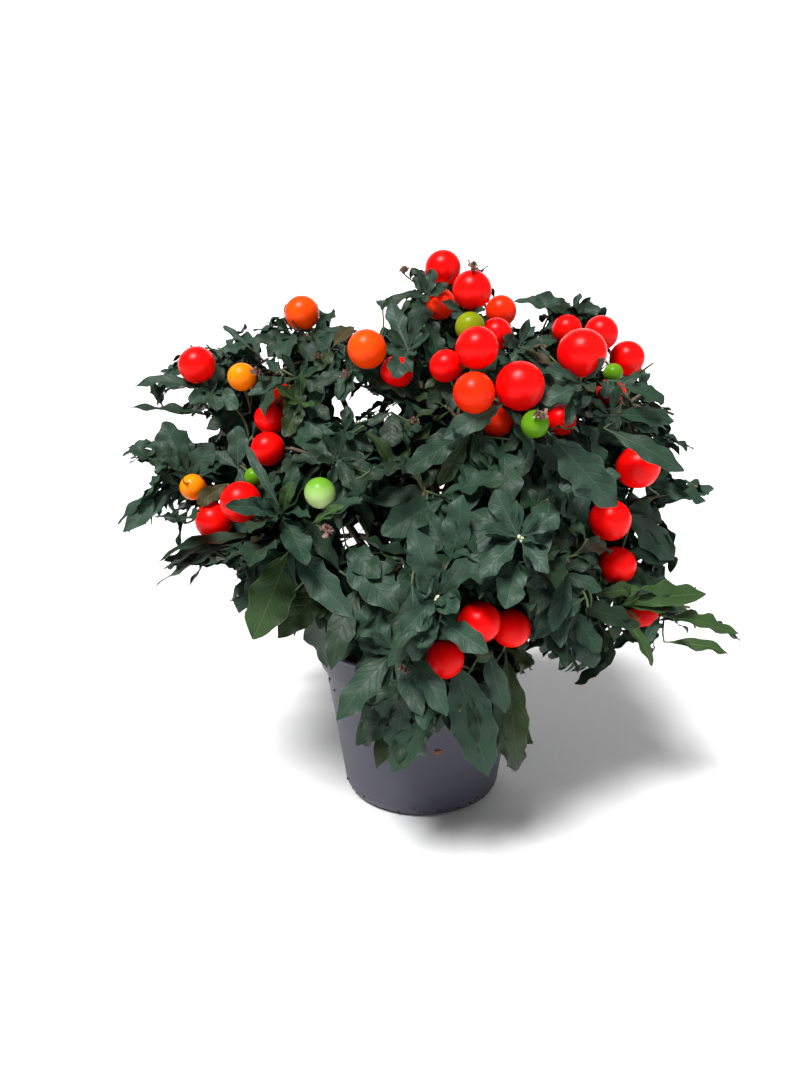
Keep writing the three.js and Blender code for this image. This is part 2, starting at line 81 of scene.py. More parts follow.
# The gap that the solids leave between limbs and masses, the room for a rosette of leaves round a fruit, how
# far behind its aim an opening onto the sky goes on, and what keeps a cross product from being nothing
CLEAR = 0.3
ROSETTE_ROOM = 5.0
BEHIND_THE_PLANT = 400.0
NOT_QUITE_NONE = 1e-9

# The front view that places were read off, in a picture of 810 by 1080 pixels: where its eye is, how
# far it looks down, and its focal length and middle in pixels
EYE = np.array((-10.0, -451.0, 240.0))
EYE_PITCH = math.radians(11.5)
PICTURE_WIDTH = 810.0
FOCAL_LENGTH = 811.0
VIEW_MIDDLE = (405.0, 540.0)

# How many routes a twig tries, and what it costs one, in millimetres, to hide fruit or sky all along
ROUTES_TRIED = 40
HIDING_COST = 90


def seen(across: float, down: float, depth: float) -> tuple[float, float, float]:
    """The place that shows at a pixel of the front view, at a depth.

    Args:
        across: The pixel's place from the left.
        down: Its place from the top.
        depth: The depth in millimetres.

    Returns:
        The place in millimetres.
    """
    right = (across - VIEW_MIDDLE[0]) / FOCAL_LENGTH
    up = (VIEW_MIDDLE[1] - down) / FOCAL_LENGTH
    forth = math.cos(EYE_PITCH) + up * math.sin(EYE_PITCH)
    rise = up * math.cos(EYE_PITCH) - math.sin(EYE_PITCH)
    far = (depth - EYE[1]) / forth
    return (EYE[0] + right * far, depth, EYE[2] + rise * far)


class Tone(Enum):
    """The leaf colours that are dealt out by spray."""

    SLATE = "s"
    # Deep green is partly the leaves' own tone and partly painted shade where it is dealt inside, low in and
    # in the shaded parts of the crown
    DEEP = "d"
    PALE = "p"
    FRESH = "f"
    GREEN = "g"
    OLIVE = "o"


class Ripeness(Enum):
    """How ripe a fruit is, which gives its colour."""

    RED = "red"
    SCARLET = "scarlet"
    ORANGE = "orange"
    AMBER = "amber"
    OLIVE = "olive"
    GREEN = "green"
    WHITISH = "whitish"


@dataclass(frozen=True)
class Mass:
    """A mass of foliage at the end of a bough.

    Attributes:
        name: The name that its nodes bear.
        source: The trunk, its tip, or the mass whose bough its own bough springs from.
        root: A height on the trunk, or a share of that bough's length.
        at: Its middle.
        reach: How far its shoots reach from there along each axis.
        leaf: The length of its longest leaves.
        droop: How much its leaves droop.
        BOUGH_END: Where its bough ends, as a share of its reach short of its middle.
    """

    BOUGH_END = 0.8

    name: str
    source: str
    root: float
    at: tuple[float, float, float]
    reach: tuple[float, float, float]
    leaf: float
    droop: float

    def middle(self) -> np.ndarray:
        """The middle as an array."""
        return np.array(self.at, float)

    def outward(self) -> np.ndarray:
        """The way it grows, from the heart of the crown out through its middle."""
        return unit(self.middle() - HEART)

    def reach_along(self, way: np.ndarray) -> float:
        """How far its shoots reach along a direction."""
        return 1 / float(np.linalg.norm(way / np.array(self.reach)))

    def entry(self) -> np.ndarray:
        """Where its bough ends and its stem begins."""
        way = self.outward()
        return self.middle() - self.BOUGH_END * self.reach_along(way) * way


MASSES = [
    Mass("left_shoulder", "trunk", 107, (-106, 6, 236), (38, 34, 22), 48, 0.1),
    Mass("left_side", "left_shoulder", 0.5, (-108, -34, 188), (42, 30, 24), 50, 0.25),
    Mass("left_top", "trunk", 114, (-54, -8, 248), (30, 36, 26), 46, 0),
    Mass("left_front", "left_top", 0.45, (-46, -68, 200), (28, 22, 24), 48, 0.25),
    Mass("left_low", "trunk", 96, (-80, -60, 148), (38, 30, 20), 54, 0.2),
    Mass("top", "tip", 0, (8, -12, 264), (30, 30, 24), 44, 0),
    Mass("crown_front", "top", 0.5, (16, -76, 226), (32, 26, 26), 50, 0.3),
    Mass("right_top", "trunk", 112, (68, 14, 256), (30, 30, 20), 46, 0),
    Mass("right_front", "right_top", 0.5, (68, -66, 222), (26, 24, 26), 52, 0.3),
    Mass("right_shoulder", "trunk", 105, (110, -14, 226), (26, 32, 26), 48, 0.15),
    Mass("right_side", "right_shoulder", 0.5, (112, -24, 174), (32, 32, 22), 52, 0.25),
    Mass("right_low", "trunk", 95, (106, -26, 124), (38, 32, 18), 52, 0.2),
    Mass("front", "trunk", 104, (-4, -96, 164), (34, 24, 28), 52, 0.3),
    Mass("front_right", "front", 0.5, (52, -86, 156), (30, 22, 26), 52, 0.3),
    Mass("apron", "trunk", 92, (4, -90, 106), (38, 16, 18), 54, 0.9),
    Mass("back_left", "trunk", 101, (-84, 80, 204), (36, 34, 28), 52, 0.2),
    Mass("back_low_left", "back_left", 0.45, (-74, 84, 138), (36, 34, 24), 56, 0.3),
    Mass("back_top", "trunk", 109.5, (0, 70, 244), (36, 32, 24), 48, 0.1),
    Mass("back_middle", "back_top", 0.45, (2, 112, 182), (34, 26, 32), 54, 0.3),
    Mass("back_right", "trunk", 100, (86, 78, 204), (36, 34, 28), 52, 0.2),
    Mass("back_low_right", "back_right", 0.45, (76, 86, 138), (36, 34, 24), 56, 0.3),
]


@dataclass(frozen=True)
class Berry:
    """A fruit.

    Attributes:
        at: Its middle.
        across: Its diameter.
        ripeness: Its colour.
        open_share: The share of its radius that no leaf hides from the front.
        remains: The way from its middle to the withered blossom that still clings to it.
    """

    at: tuple[float, float, float]
    across: float
    ripeness: Ripeness
    open_share: float = 1.0
    remains: tuple[float, float, float] | None = None


# The fruit of the side that is known, by mass, as read off: its pixels across and down and its depth, its
# diameter and its ripeness, and then, where they matter, the share that shows and the way to the remains
FRUIT = {
    "left_shoulder": [((197, 365, -30), 19, "red"), ((242, 377, -35), 14.5, "amber")],
    "left_side": [
        ((268, 449, -50), 17, "red"), ((254, 477, -60), 9.5, "green"), ((193, 487, -55), 13, "amber"),
        ((241, 502, -75), 19.5, "red", 0.7), ((214, 521, -58), 18.5, "red", 0.8),
    ],
    "left_top": [
        ((302, 313, -5), 18.5, "orange"), ((367, 349, -62), 18.5, "orange"),
        ((280, 396, -25), 16, "scarlet", 0.3), ((270, 419, -38), 16, "red", 0.3),
        ((397, 372, -54), 16, "red", 0.3),
    ],
    "top": [
        ((443, 268, -15), 18.5, "red", 0.9), ((472, 290, -45), 19, "red", 1, (0, -0.45, 0.9)),
        ((440, 304, -20), 16, "scarlet", 0.8), ((501, 311, -20), 16, "scarlet", 0.9),
        ((470, 327, -60), 14, "olive", 0.9),
    ],
    "crown_front": [
        ((477, 348, -80), 19.5, "red"), ((496, 334, -49), 15.5, "red", 0.7),
        ((446, 366, -68), 15.5, "red", 0.7), ((474, 393, -92), 18.5, "scarlet"),
        ((520, 386, -85), 22, "red"), ((497, 420, -68), 16.5, "scarlet", 0.8),
    ],
    "right_top": [((567, 330, 5), 16.5, "red"), ((601, 333, -18), 18, "red")],
    "right_front": [
        ((582, 353, -75), 22.5, "red"), ((561, 420, -60), 15, "red", 0.25),
        ((535, 424, -104), 12, "green", 1, (0.05, -0.85, 0.5)),
    ],
    "right_shoulder": [
        ((627, 358, -10), 18.5, "red"), ((613, 373, -28), 10, "green"), ((611, 392, -15), 15.5, "red", 0.2),
        ((638, 467, -65), 21, "red", 0.8),
    ],
    "right_side": [((610, 520, -62), 20.5, "red", 0.9), ((617, 565, -50), 19.5, "red", 0.7)],
    "right_low": [((642, 613, -40), 17, "red", 0.3)],
    "left_front": [((320, 493, -88), 14.5, "whitish")],
    "apron": [
        ((479, 622, -112), 19, "red"), ((511, 628, -100), 18, "red"), ((445, 659, -104), 18, "red", 0.8),
    ],
}

# The masses behind bear theirs by rule: how many each, the diameter of the first, how far past the
# mass's reach it hangs, and how much nearer each next one is
FRUIT_BEHIND = {
    "back_left": 3,
    "back_low_left": 1,
    "back_top": 2,
    "back_middle": 2,
    "back_right": 3,
    "back_low_right": 1,
}
FRUIT_BEHIND_ACROSS = 19
FRUIT_BEHIND_OUT = 6
FRUIT_BEHIND_STEP = 5
RIPENESS_BEHIND = [Ripeness.RED, Ripeness.SCARLET, Ripeness.RED, Ripeness.ORANGE, Ripeness.GREEN]


def unit(vectors: np.ndarray) -> np.ndarray:
    """Scales vectors to a length of one."""
    return vectors / np.linalg.norm(vectors, axis=-1, keepdims=True)


def blend_of(low: float, high: float, share: float) -> float:
    """The number a share of the way from low to high."""
    return low + (high - low) * share


def bell(middle: float, width: float, value: float) -> float:
    """A smooth hump of height one round a middle."""
    return math.exp(-(((value - middle) / width) ** 2))


def ring(way: np.ndarray, angle: float) -> np.ndarray:
    """The direction square to a way, at an angle round it."""
    side = unit(np.cross(UP, way) + NOT_QUITE_NONE)
    return math.cos(angle) * side + math.sin(angle) * np.cross(way, side)


def opened(way: np.ndarray, angle: float, by: float) -> np.ndarray:
    """The direction that opens from a way by an angle, at another angle round it."""
    return math.cos(by) * way + math.sin(by) * ring(way, angle)


def stood(corners: np.ndarray, way: np.ndarray) -> np.ndarray:
    """Turns corners so that their upright axis lies along a way."""
    return corners @ np.stack([ring(way, 0), ring(way, math.pi / 2), way])


class Stream:
    """A seeded stream of numbers, the same as the solids were grown with."""

    def __init__(self, seed: int) -> None:
        """Starts the stream at a seed."""
        self.state = seed % 2**32

    def next(self) -> float:
        """The next number from 0 to 1."""
        self.state = (self.state * 1664525 + 1013904223) % 2**32
        return self.state / 2**32

    def between(self, low: float, high: float) -> float:
        """The next number from low to high."""
        return blend_of(low, high, self.next())


class Line:
    """A Bezier curve whose points are found by the share of its length."""

    SAMPLES = 40
    STEP = 0.03

    def __init__(self, *controls: np.ndarray) -> None:
        """Samples the curve.

        Args:
            controls: Its control points.
        """
        share = np.linspace(0, 1, self.SAMPLES + 1)[:, None]
        rows = [np.repeat(np.asarray(point, float)[None], len(share), 0) for point in controls]
        while len(rows) > 1:
            rows = [a * (1 - share) + b * share for a, b in zip(rows, rows[1:])]
        self.points = rows[0]
        steps = np.linalg.norm(np.diff(self.points, axis=0), axis=1)
        self.travel = np.concatenate(([0.0], np.cumsum(steps)))
        self.length = float(self.travel[-1])

    def at(self, share: float | np.ndarray) -> np.ndarray:
        """The points at shares of the length."""
        far = np.asarray(share, float) * self.length
        return np.stack([np.interp(far, self.travel, axis) for axis in self.points.T], -1)

    def way(self, share: float | np.ndarray) -> np.ndarray:
        """The directions at shares of the length."""
        share = np.asarray(share, float)
        return unit(self.at(np.minimum(share + self.STEP, 1)) - self.at(np.maximum(share - self.STEP, 0)))


def linear(code: str) -> tuple[float, float, float, float]:
    """Turns an sRGB hex colour to linear.

    Args:
        code: The colour as #rrggbb.

    Returns:
        Red, green, blue and an alpha of one.
    """
    parts = [int(code[i : i + 2], 16) / 255 for i in (1, 3, 5)]
    return (*(c / 12.92 if c <= 0.04045 else ((c + 0.055) / 1.055) ** 2.4 for c in parts), 1.0)


def add(tree: bpy.types.NodeTree, kind: str, settings: dict, links: dict | None = None) -> bpy.types.Node:
    """Adds a node with its settings and links.

    Args:
        tree: The node tree.
        kind: The node's type.
        settings: Values by the name of a property, or by the name or number of an input socket.
        links: Output sockets by the name or number of the input socket that they feed.

    Returns:
        The new node.
    """
    node = tree.nodes.new(kind)
    for name, value in settings.items():
        if isinstance(name, str) and hasattr(node, name):
            setattr(node, name, value)
        else:
            node.inputs[name].default_value = value
    for name, socket in (links or {}).items():
        tree.links.new(socket, node.inputs[name])
    return node


@dataclass(frozen=True)
class Surface:
    """A material.

    Attributes:
        name: The real material and how its surface was made.
        colour: Its main colour.
    """

    name: str
    colour: str

    def material(self) -> bpy.types.Material:
        """Builds the material, or finds the one that was built before.

        Returns:
            The material.
        """
        made = bpy.data.materials.get(self.name)
        if made is None:
            made = bpy.data.materials.new(self.name)
            made.use_nodes = True
            tree = made.node_tree
            tree.nodes.clear()
            place = add(tree, "ShaderNodeTexCoord", {}).outputs["Object"]
            shader = add(tree, "ShaderNodeBsdfPrincipled", *self.look(tree, place))
            add(tree, "ShaderNodeOutputMaterial", {}, {"Surface": shader.outputs["BSDF"]})
        return made

    def look(self, tree: bpy.types.NodeTree, place: bpy.types.NodeSocket) -> tuple[dict, dict]:
        """What the shader is set to, and what feeds it.

        Args:
            tree: The node tree.
            place: The place on the piece.

        Returns:
            Settings and links by the name of the socket.
        """
        raise NotImplementedError


@dataclass(frozen=True)
class Finish(Surface):
    """A surface with mottled colour and a fine relief.

    Attributes:
        second: The colour that patches of it tend to.
        patch: The size of the patches.
        roughness: How matt it is.
        grain: The size of the relief.
        relief: The depth of the relief.
        shine: How strongly it mirrors, a half for most plastics.
        contrast: How sharply the patches end, from 0 to 1.
    """

    second: str
    patch: float = 12.0
    roughness: float = 0.6
    grain: float = 1.0
    relief: float = 0.1
    shine: float = 0.4
    contrast: float = 0.2

    def look(self, tree: bpy.types.NodeTree, place: bpy.types.NodeSocket) -> tuple[dict, dict]:
        """What the shader is set to, and what feeds it.

        Args:
            tree: The node tree.
            place: The place on the piece.

        Returns:
            Settings and links by the name of the socket.
        """
        fine = {"Scale": 1 / (self.grain * METRE), "Detail": 2.0}
        grain = add(tree, "ShaderNodeTexNoise", fine, {"Vector": place})
        depth = {"Strength": 0.6, "Distance": self.relief * METRE}
        relief = add(tree, "ShaderNodeBump", depth, {"Height": grain.outputs["Fac"]})
        colour = add(
            tree,
            "ShaderNodeMix",
            {"data_type": "RGBA", 6: linear(self.colour), 7: linear(self.second)},
            {0: self.share(tree, place)},
        )
        return (
            {"Roughness": self.roughness, "Specular IOR Level": self.shine},
            {"Base Color": colour.outputs[2], "Normal": relief.outputs["Normal"]},
        )

    def share(self, tree: bpy.types.NodeTree, place: bpy.types.NodeSocket) -> bpy.types.NodeSocket:
        """The share of the second colour, in soft patches.

        Args:
            tree: The node tree.
            place: The place on the piece.

        Returns:
            The share.
        """
        broad = {"Scale": 1 / (self.patch * METRE), "Detail": 3.0, "Roughness": 0.55}
        clouds = add(tree, "ShaderNodeTexNoise", broad, {"Vector": place})
        half = 0.25 * (1 - self.contrast)
        limits = {"From Min": 0.5 - half, "From Max": 0.5 + half}
        return add(tree, "ShaderNodeMapRange", limits, {"Value": clouds.outputs["Fac"]}).outputs["Result"]


@dataclass(frozen=True)
class Skin(Finish):
    """The skin of a fruit, tinted in broad soft patches."""

    patch: float = 14.0
    roughness: float = 0.3
    grain: float = 0.8
    relief: float = 0.01
    shine: float = 0.13


@dataclass(frozen=True)
class Ripening(Skin):
    """The skin of a fruit that is green where the light falls on it and pale below.

    Attributes:
        low: How high its pale underside is.
        high: How high its green top is.
    """

    low: float = 0.0
    high: float = 1.0

    def share(self, tree: bpy.types.NodeTree, place: bpy.types.NodeSocket) -> bpy.types.NodeSocket:
        """The share of the second colour, all at the underside of the fruit and none at its top.

        Args:
            tree: The node tree.
            place: The place on the piece.

        Returns:
            The share.
        """
        height = add(tree, "ShaderNodeSeparateXYZ", {}, {"Vector": place}).outputs["Z"]
        limits = {"From Min": self.high * METRE, "From Max": self.low * METRE}
        return add(tree, "ShaderNodeMapRange", limits, {"Value": height}).outputs["Result"]


@dataclass(frozen=True)
class Blade(Surface):
    """A leaf blade of one plain colour, whose side veins and grain are a fine relief.

    Attributes:
        roughness: How matt it is.
        veins: How many side veins each half has.
        slant: How far they run forward.
        grain: The size of the grain.
        depth: How deep the veins and the grain lie.
        shine: How strongly it mirrors.
    """

    roughness: float
    veins: float = 8.0
    slant: float = 0.22
    grain: float = 1.6
    depth: float = 0.25
    shine: float = 0.3

    def look(self, tree: bpy.types.NodeTree, place: bpy.types.NodeSocket) -> tuple[dict, dict]:
        """What the shader is set to, and what feeds it: a grain, and over it the veins.

        Args:
            tree: The node tree.
            place: The place on the piece.

        Returns:
            Settings and links by the name of the socket.
        """
        fine = {"Scale": 1 / (self.grain * METRE), "Detail": 2.0}
        cloud = add(tree, "ShaderNodeTexNoise", fine, {"Vector": place}).outputs["Fac"]
        depth = {"Strength": 0.5, "Distance": self.depth * METRE}
        grain = add(tree, "ShaderNodeBump", depth, {"Height": cloud}).outputs["Normal"]
        spot = add(tree, "ShaderNodeUVMap", {"uv_map": LeafShape.MAP}).outputs["UV"]
        parts = add(tree, "ShaderNodeSeparateXYZ", {}, {"Vector": spot}).outputs
        side = add(tree, "ShaderNodeMath", {"operation": "ABSOLUTE"}, {0: parts["Y"]}).outputs[0]
        forward = {"operation": "MULTIPLY_ADD", 1: -self.slant}
        lean = add(tree, "ShaderNodeMath", forward, {0: side, 2: parts["X"]}).outputs[0]
        turns = {"operation": "MULTIPLY", 1: 2 * math.pi * self.veins}
        wave = add(tree, "ShaderNodeMath", turns, {0: lean}).outputs[0]
        crest = add(tree, "ShaderNodeMath", {"operation": "SINE"}, {0: wave}).outputs[0]
        narrow = {"From Min": 0.7, "From Max": 1.0}
        vein = add(tree, "ShaderNodeMapRange", narrow, {"Value": crest}).outputs["Result"]
        relief = add(tree, "ShaderNodeBump", {**depth, "invert": True}, {"Height": vein, "Normal": grain})
        settings = {
            "Base Color": linear(self.colour),
            "Roughness": self.roughness,
            "Specular IOR Level": self.shine,
        }
        return settings, {"Normal": relief.outputs["Normal"]}


# Leaf blades: thin living tissue, matt with a little bloom; the tones are those of whole sprays, and the deep
# green one also stands for painted shade inside the crown, low in its masses and in its shaded parts
BLADES = {
    Tone.SLATE: Blade("leaf blade, slate green", "#1e3727", 0.56),
    Tone.DEEP: Blade("leaf blade, deep green", "#162b1a", 0.56),
    Tone.PALE: Blade("leaf blade, grey green", "#283f31", 0.54),
    Tone.FRESH: Blade("leaf blade, young green", "#2c4520", 0.55),
    Tone.GREEN: Blade("leaf blade, dark grass green", "#1f3013", 0.52),
    Tone.OLIVE: Blade("leaf blade, old and olive brown", "#3a3417", 0.6),
}

# Midribs and edges: the slightly paler lines down the middle and round the rim of each blade; the pale rim is
# partly the margin's own colour and partly a painted highlight where it catches the light
RIBS_AND_PAINTED_EDGE_HIGHLIGHTS = {
    Tone.SLATE: Blade("leaf midrib, grey green", "#35483b", 0.5),
    Tone.DEEP: Blade("leaf midrib, mid green", "#2a3a2c", 0.5),
    Tone.PALE: Blade("leaf midrib, pale green", "#3e5345", 0.5),
    Tone.FRESH: Blade("leaf midrib, young green", "#4c6636", 0.48),
    Tone.GREEN: Blade("leaf midrib, grass green", "#31461d", 0.48),
    Tone.OLIVE: Blade("leaf midrib, straw", "#4f4a27", 0.5),
}

# Fruit skins: smooth, taut and waxy, so that each fruit bears one soft highlight of the light above it
SKINS = {
    Ripeness.RED: Skin("fruit skin, ripe red", "#f40307", "#f40c05"),
    Ripeness.SCARLET: Skin("fruit skin, scarlet", "#f62004", "#f43005"),
    Ripeness.ORANGE: Skin("fruit skin, orange", "#f43a02", "#f55004"),
    Ripeness.AMBER: Skin("fruit skin, amber", "#fb7604", "#fc8c06"),
    Ripeness.OLIVE: Skin("fruit skin, olive", "#858f06", "#6f7f08"),
    Ripeness.GREEN: Skin("fruit skin, unripe green", "#42740a", "#639516"),
    Ripeness.WHITISH: Ripening(
        "fruit skin, green above and whitish below", "#669c28", "#d6e9ac", low=179.5, high=192.5
    ),
}

POT_PLASTIC = Finish("polypropylene, thermoformed and matt", "#403f4e", "#3b3a47", 30, 0.5, 0.6, 0.03)
COMPOST = Finish("moist peat compost", "#4a2c1e", "#2c1a12", 5, 0.95, 1.2, 0.8, contrast=0.5)
FIBRE_RED = Finish("coir and bark fibre, reddish", "#8e5236", "#6c3c28", 4, 0.9, 0.8, 0.2)
FIBRE_DARK = Finish("peat crumb, dark", "#33211a", "#1f140f", 4, 0.95, 0.8, 0.3)
BARK = Finish("thin grey-brown bark", "#6b5c48", "#4c4033", 5, 0.85, 0.9, 0.35, contrast=0.5)
GREEN_WOOD = Finish("young green twig", "#4c5a36", "#3c4a2e", 6, 0.65, 0.8, 0.1)
CALYX = Finish("fruit calyx, leaf green", "#557a35", "#46672e", 5, 0.6, 0.7, 0.08)
BUD = Finish("flower bud, whitish", "#d8dcc0", "#c3cba2", 4, 0.6, 0.7, 0.05)
WITHERED = Finish("withered blossom, papery brown", "#93746a", "#6c4f42", 3, 0.9, 0.7, 0.2, contrast=0.5)


class Stencil:
    """A small mesh to be copied many times: its corners, its faces and each face's finish."""

    def __init__(self, bm: bmesh.types.BMesh) -> None:
        """Reads a bmesh and frees it.

        Args:
            bm: The bmesh.
        """
        bm.verts.index_update()
        sizes = [len(face.verts) for face in bm.faces]
        self.corners = np.array([vert.co for vert in bm.verts], float)
        self.loops = np.array([vert.index for face in bm.faces for vert in face.verts])
        self.starts = np.cumsum([0, *sizes[:-1]])
        self.finishes = np.array([face.material_index for face in bm.faces])
        self.map: np.ndarray | None = None
        bm.free()


class Joined:
    """Copies of stencils, gathered into the mesh of one piece."""

    def __init__(self, name: str, *finishes: Surface) -> None:
        """Starts an empty piece.

        Args:
            name: Its name.
            finishes: Its finishes in the order of its faces' numbers.
        """
        self.name = name
        self.finishes = finishes
        self.parts: list[tuple[Stencil, np.ndarray]] = []

    def add(self, stencil: Stencil, places: np.ndarray) -> None:
        """Adds copies of a stencil.

        Args:
            stencil: The mesh to copy.
            places: The corners of each copy in millimetres, as copies by corners by 3.
        """
        self.parts.append((stencil, places))

    def add_tube(self, tube: "Tube", line: Line, radii: np.ndarray) -> None:
        """Adds a tube along a line, with a radius for each of its corners."""
        self.add(tube.stencil, tube.along(line, radii)[None])

    def add_leaves(self, shape: "LeafShape", leaves: list["Leaf"]) -> None:
        """Adds leaves of one shape, where there are any."""
        if leaves:
            self.add(shape.stencil, shape.laid(leaves))

    def piece(self) -> bpy.types.Object:
        """Writes all copies to one mesh.

        Returns:
            The object, linked to the scene.
        """
        points, loops, starts, finishes, spots = [], [], [], [], []
        corner_count = 0
        loop_count = 0
        for stencil, places in self.parts:
            copies, corners = places.shape[:2]
            shift = corner_count + corners * np.arange(copies, dtype=np.int64)[:, None]
            points.append(places.reshape(-1, 3))
            loops.append((stencil.loops[None] + shift).ravel())
            step = loop_count + len(stencil.loops) * np.arange(copies, dtype=np.int64)[:, None]
            starts.append((stencil.starts[None] + step).ravel())
            finishes.append(np.tile(stencil.finishes, copies))
            if stencil.map is not None:
                spots.append(np.tile(stencil.map[stencil.loops], (copies, 1)))
            corner_count += copies * corners
            loop_count += copies * len(stencil.loops)
        mesh = bpy.data.meshes.new(self.name)
        mesh.vertices.add(corner_count)
        mesh.vertices.foreach_set("co", (np.concatenate(points) * METRE).ravel())
        mesh.loops.add(loop_count)
        mesh.loops.foreach_set("vertex_index", np.concatenate(loops).astype(np.int32))
        all_starts = np.concatenate(starts).astype(np.int32)
        mesh.polygons.add(len(all_starts))
        mesh.polygons.foreach_set("loop_start", all_starts)
        mesh.polygons.foreach_set("material_index", np.concatenate(finishes).astype(np.int32))
        mesh.polygons.foreach_set("use_smooth", np.ones(len(all_starts), bool))
        if spots:
            layer = mesh.uv_layers.new(name=LeafShape.MAP)
            layer.data.foreach_set("uv", np.concatenate(spots).ravel())
        mesh.update(calc_edges=True)
        mesh.validate()
        return show(self.name, mesh, *self.finishes)


def show(name: str, mesh: bpy.types.Mesh, *finishes: Surface) -> bpy.types.Object:
    """Links a mesh to the scene as a piece that rides on the plant.

    Args:
        name: The piece's name.
        mesh: Its mesh, in metres and in place.
        finishes: Its finishes in the order of its faces' numbers.

    Returns:
        The piece.
    """
    piece = bpy.data.objects.new(name, mesh)
    bpy.context.scene.collection.objects.link(piece)
    for finish in finishes:
        mesh.materials.append(finish.material())
    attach(piece, "root")
    log.info("%s: %d faces", name, len(mesh.polygons))
    return piece


def smooth_mesh(name: str, bm: bmesh.types.BMesh) -> bpy.types.Mesh:
    """Turns a bmesh in millimetres to a smooth mesh in metres and frees it.

    Args:
        name: The name of the mesh.
        bm: The bmesh.

    Returns:
        The mesh.
    """
    bmesh.ops.scale(bm, vec=Vector((METRE, METRE, METRE)), verts=bm.verts)
    for face in bm.faces:
        face.smooth = True
    mesh = bpy.data.meshes.new(name)
    bm.to_mesh(mesh)
    bm.free()
    return mesh


def of_kind(made: dict, kind: type) -> list:
    """The items of one kind among all that an operator made."""
    return [item for item in made["geom"] if isinstance(item, kind)]


class Tube:
    """A closed tube along a line, from a cylinder whose rings are laid out along it."""

    MOST_ALONG_X = 0.6

    def __init__(self, sides: int, steps: int) -> None:
        """Makes the stencil with its rings numbered by the share of the length.

        Args:
            sides: How many sides it has.
            steps: How many steps it has from end to end.
        """
        bm = bmesh.new()
        bmesh.ops.create_cone(bm, cap_ends=True, segments=sides, radius1=1, radius2=1, depth=1)
        upright = [edge for edge in bm.edges if abs(edge.verts[0].co.z - edge.verts[1].co.z) > 0.5]
        bmesh.ops.subdivide_edges(bm, edges=upright, cuts=steps - 1, use_grid_fill=True)
        self.stencil = Stencil(bm)
        corners = self.stencil.corners
        self.shares = corners[:, 2] + 0.5
        self.flat = corners[:, :2]
        self.angles = np.arctan2(corners[:, 1], corners[:, 0])

    def along(self, line: Line, radii: np.ndarray) -> np.ndarray:
        """Lays the tube along a line.

        Args:
            line: The line.
            radii: The radius at each corner, from its share and angle.

        Returns:
            The corners in millimetres.
        """
        ways = line.way(self.shares)
        aim = line.at(1) - line.at(0)
        beside = abs(aim[0]) < self.MOST_ALONG_X * np.linalg.norm(aim)
        rough = np.array((1.0, 0, 0)) if beside else np.array((0, 1.0, 0))
        side = unit(rough - (ways @ rough)[:, None] * ways)
        other = np.cross(ways, side)
        flat = self.flat * radii[:, None]
        return line.at(self.shares) + flat[:, :1] * side + flat[:, 1:] * other


@dataclass
class Leaf:
    """One leaf.

    Attributes:
        root: Where it leaves its twig.
        along: The way that it starts out.
        face: The way that its upper side faces.
        length: Its length with its stalk.
        width: Its width as a share of the length.
        bend: How far it arches down from root to tip, in radians.
        fold: How far each half rises from the midrib, in radians.
        ripple: How deep its edge waves are, as a share of its half width.
        waves: How many waves an edge has.
        phase: Where the waves start.
        twist: How far it turns from root to tip, in radians.
        sway: How far its midrib swings up and down, as a share of its length.
        close: How it closes at its tip: low is round, high is pointed.
    """

    root: np.ndarray
    along: np.ndarray
    face: np.ndarray
    length: float
    width: float = 0.36
    bend: float = 0.6
    fold: float = 0.25
    ripple: float = 0.22
    waves: float = 3.2
    phase: float = 0.0
    twist: float = 0.0
    sway: float = 0.02
    close: float = 0.75

    @classmethod
    def between(
        cls, root: np.ndarray, tip: np.ndarray, face: np.ndarray, bend: float, **looks: float
    ) -> "Leaf":
        """A leaf that reaches from its root to a tip.

        Args:
            root: Where it leaves its twig.
            tip: Where it ends.
            face: The way that its upper side faces.
            bend: How far it arches down from root to tip, in radians.
            looks: Its other measures.

        Returns:
            The leaf.
        """
        reach = float(np.linalg.norm(tip - root))
        way = (tip - root) / reach
        over = unit(face - float(face @ way) * way)
        half = bend / 2
        along = math.cos(half) * way + math.sin(half) * over
        return cls(root, along, face, reach * half / math.sin(half), bend=bend, **looks)


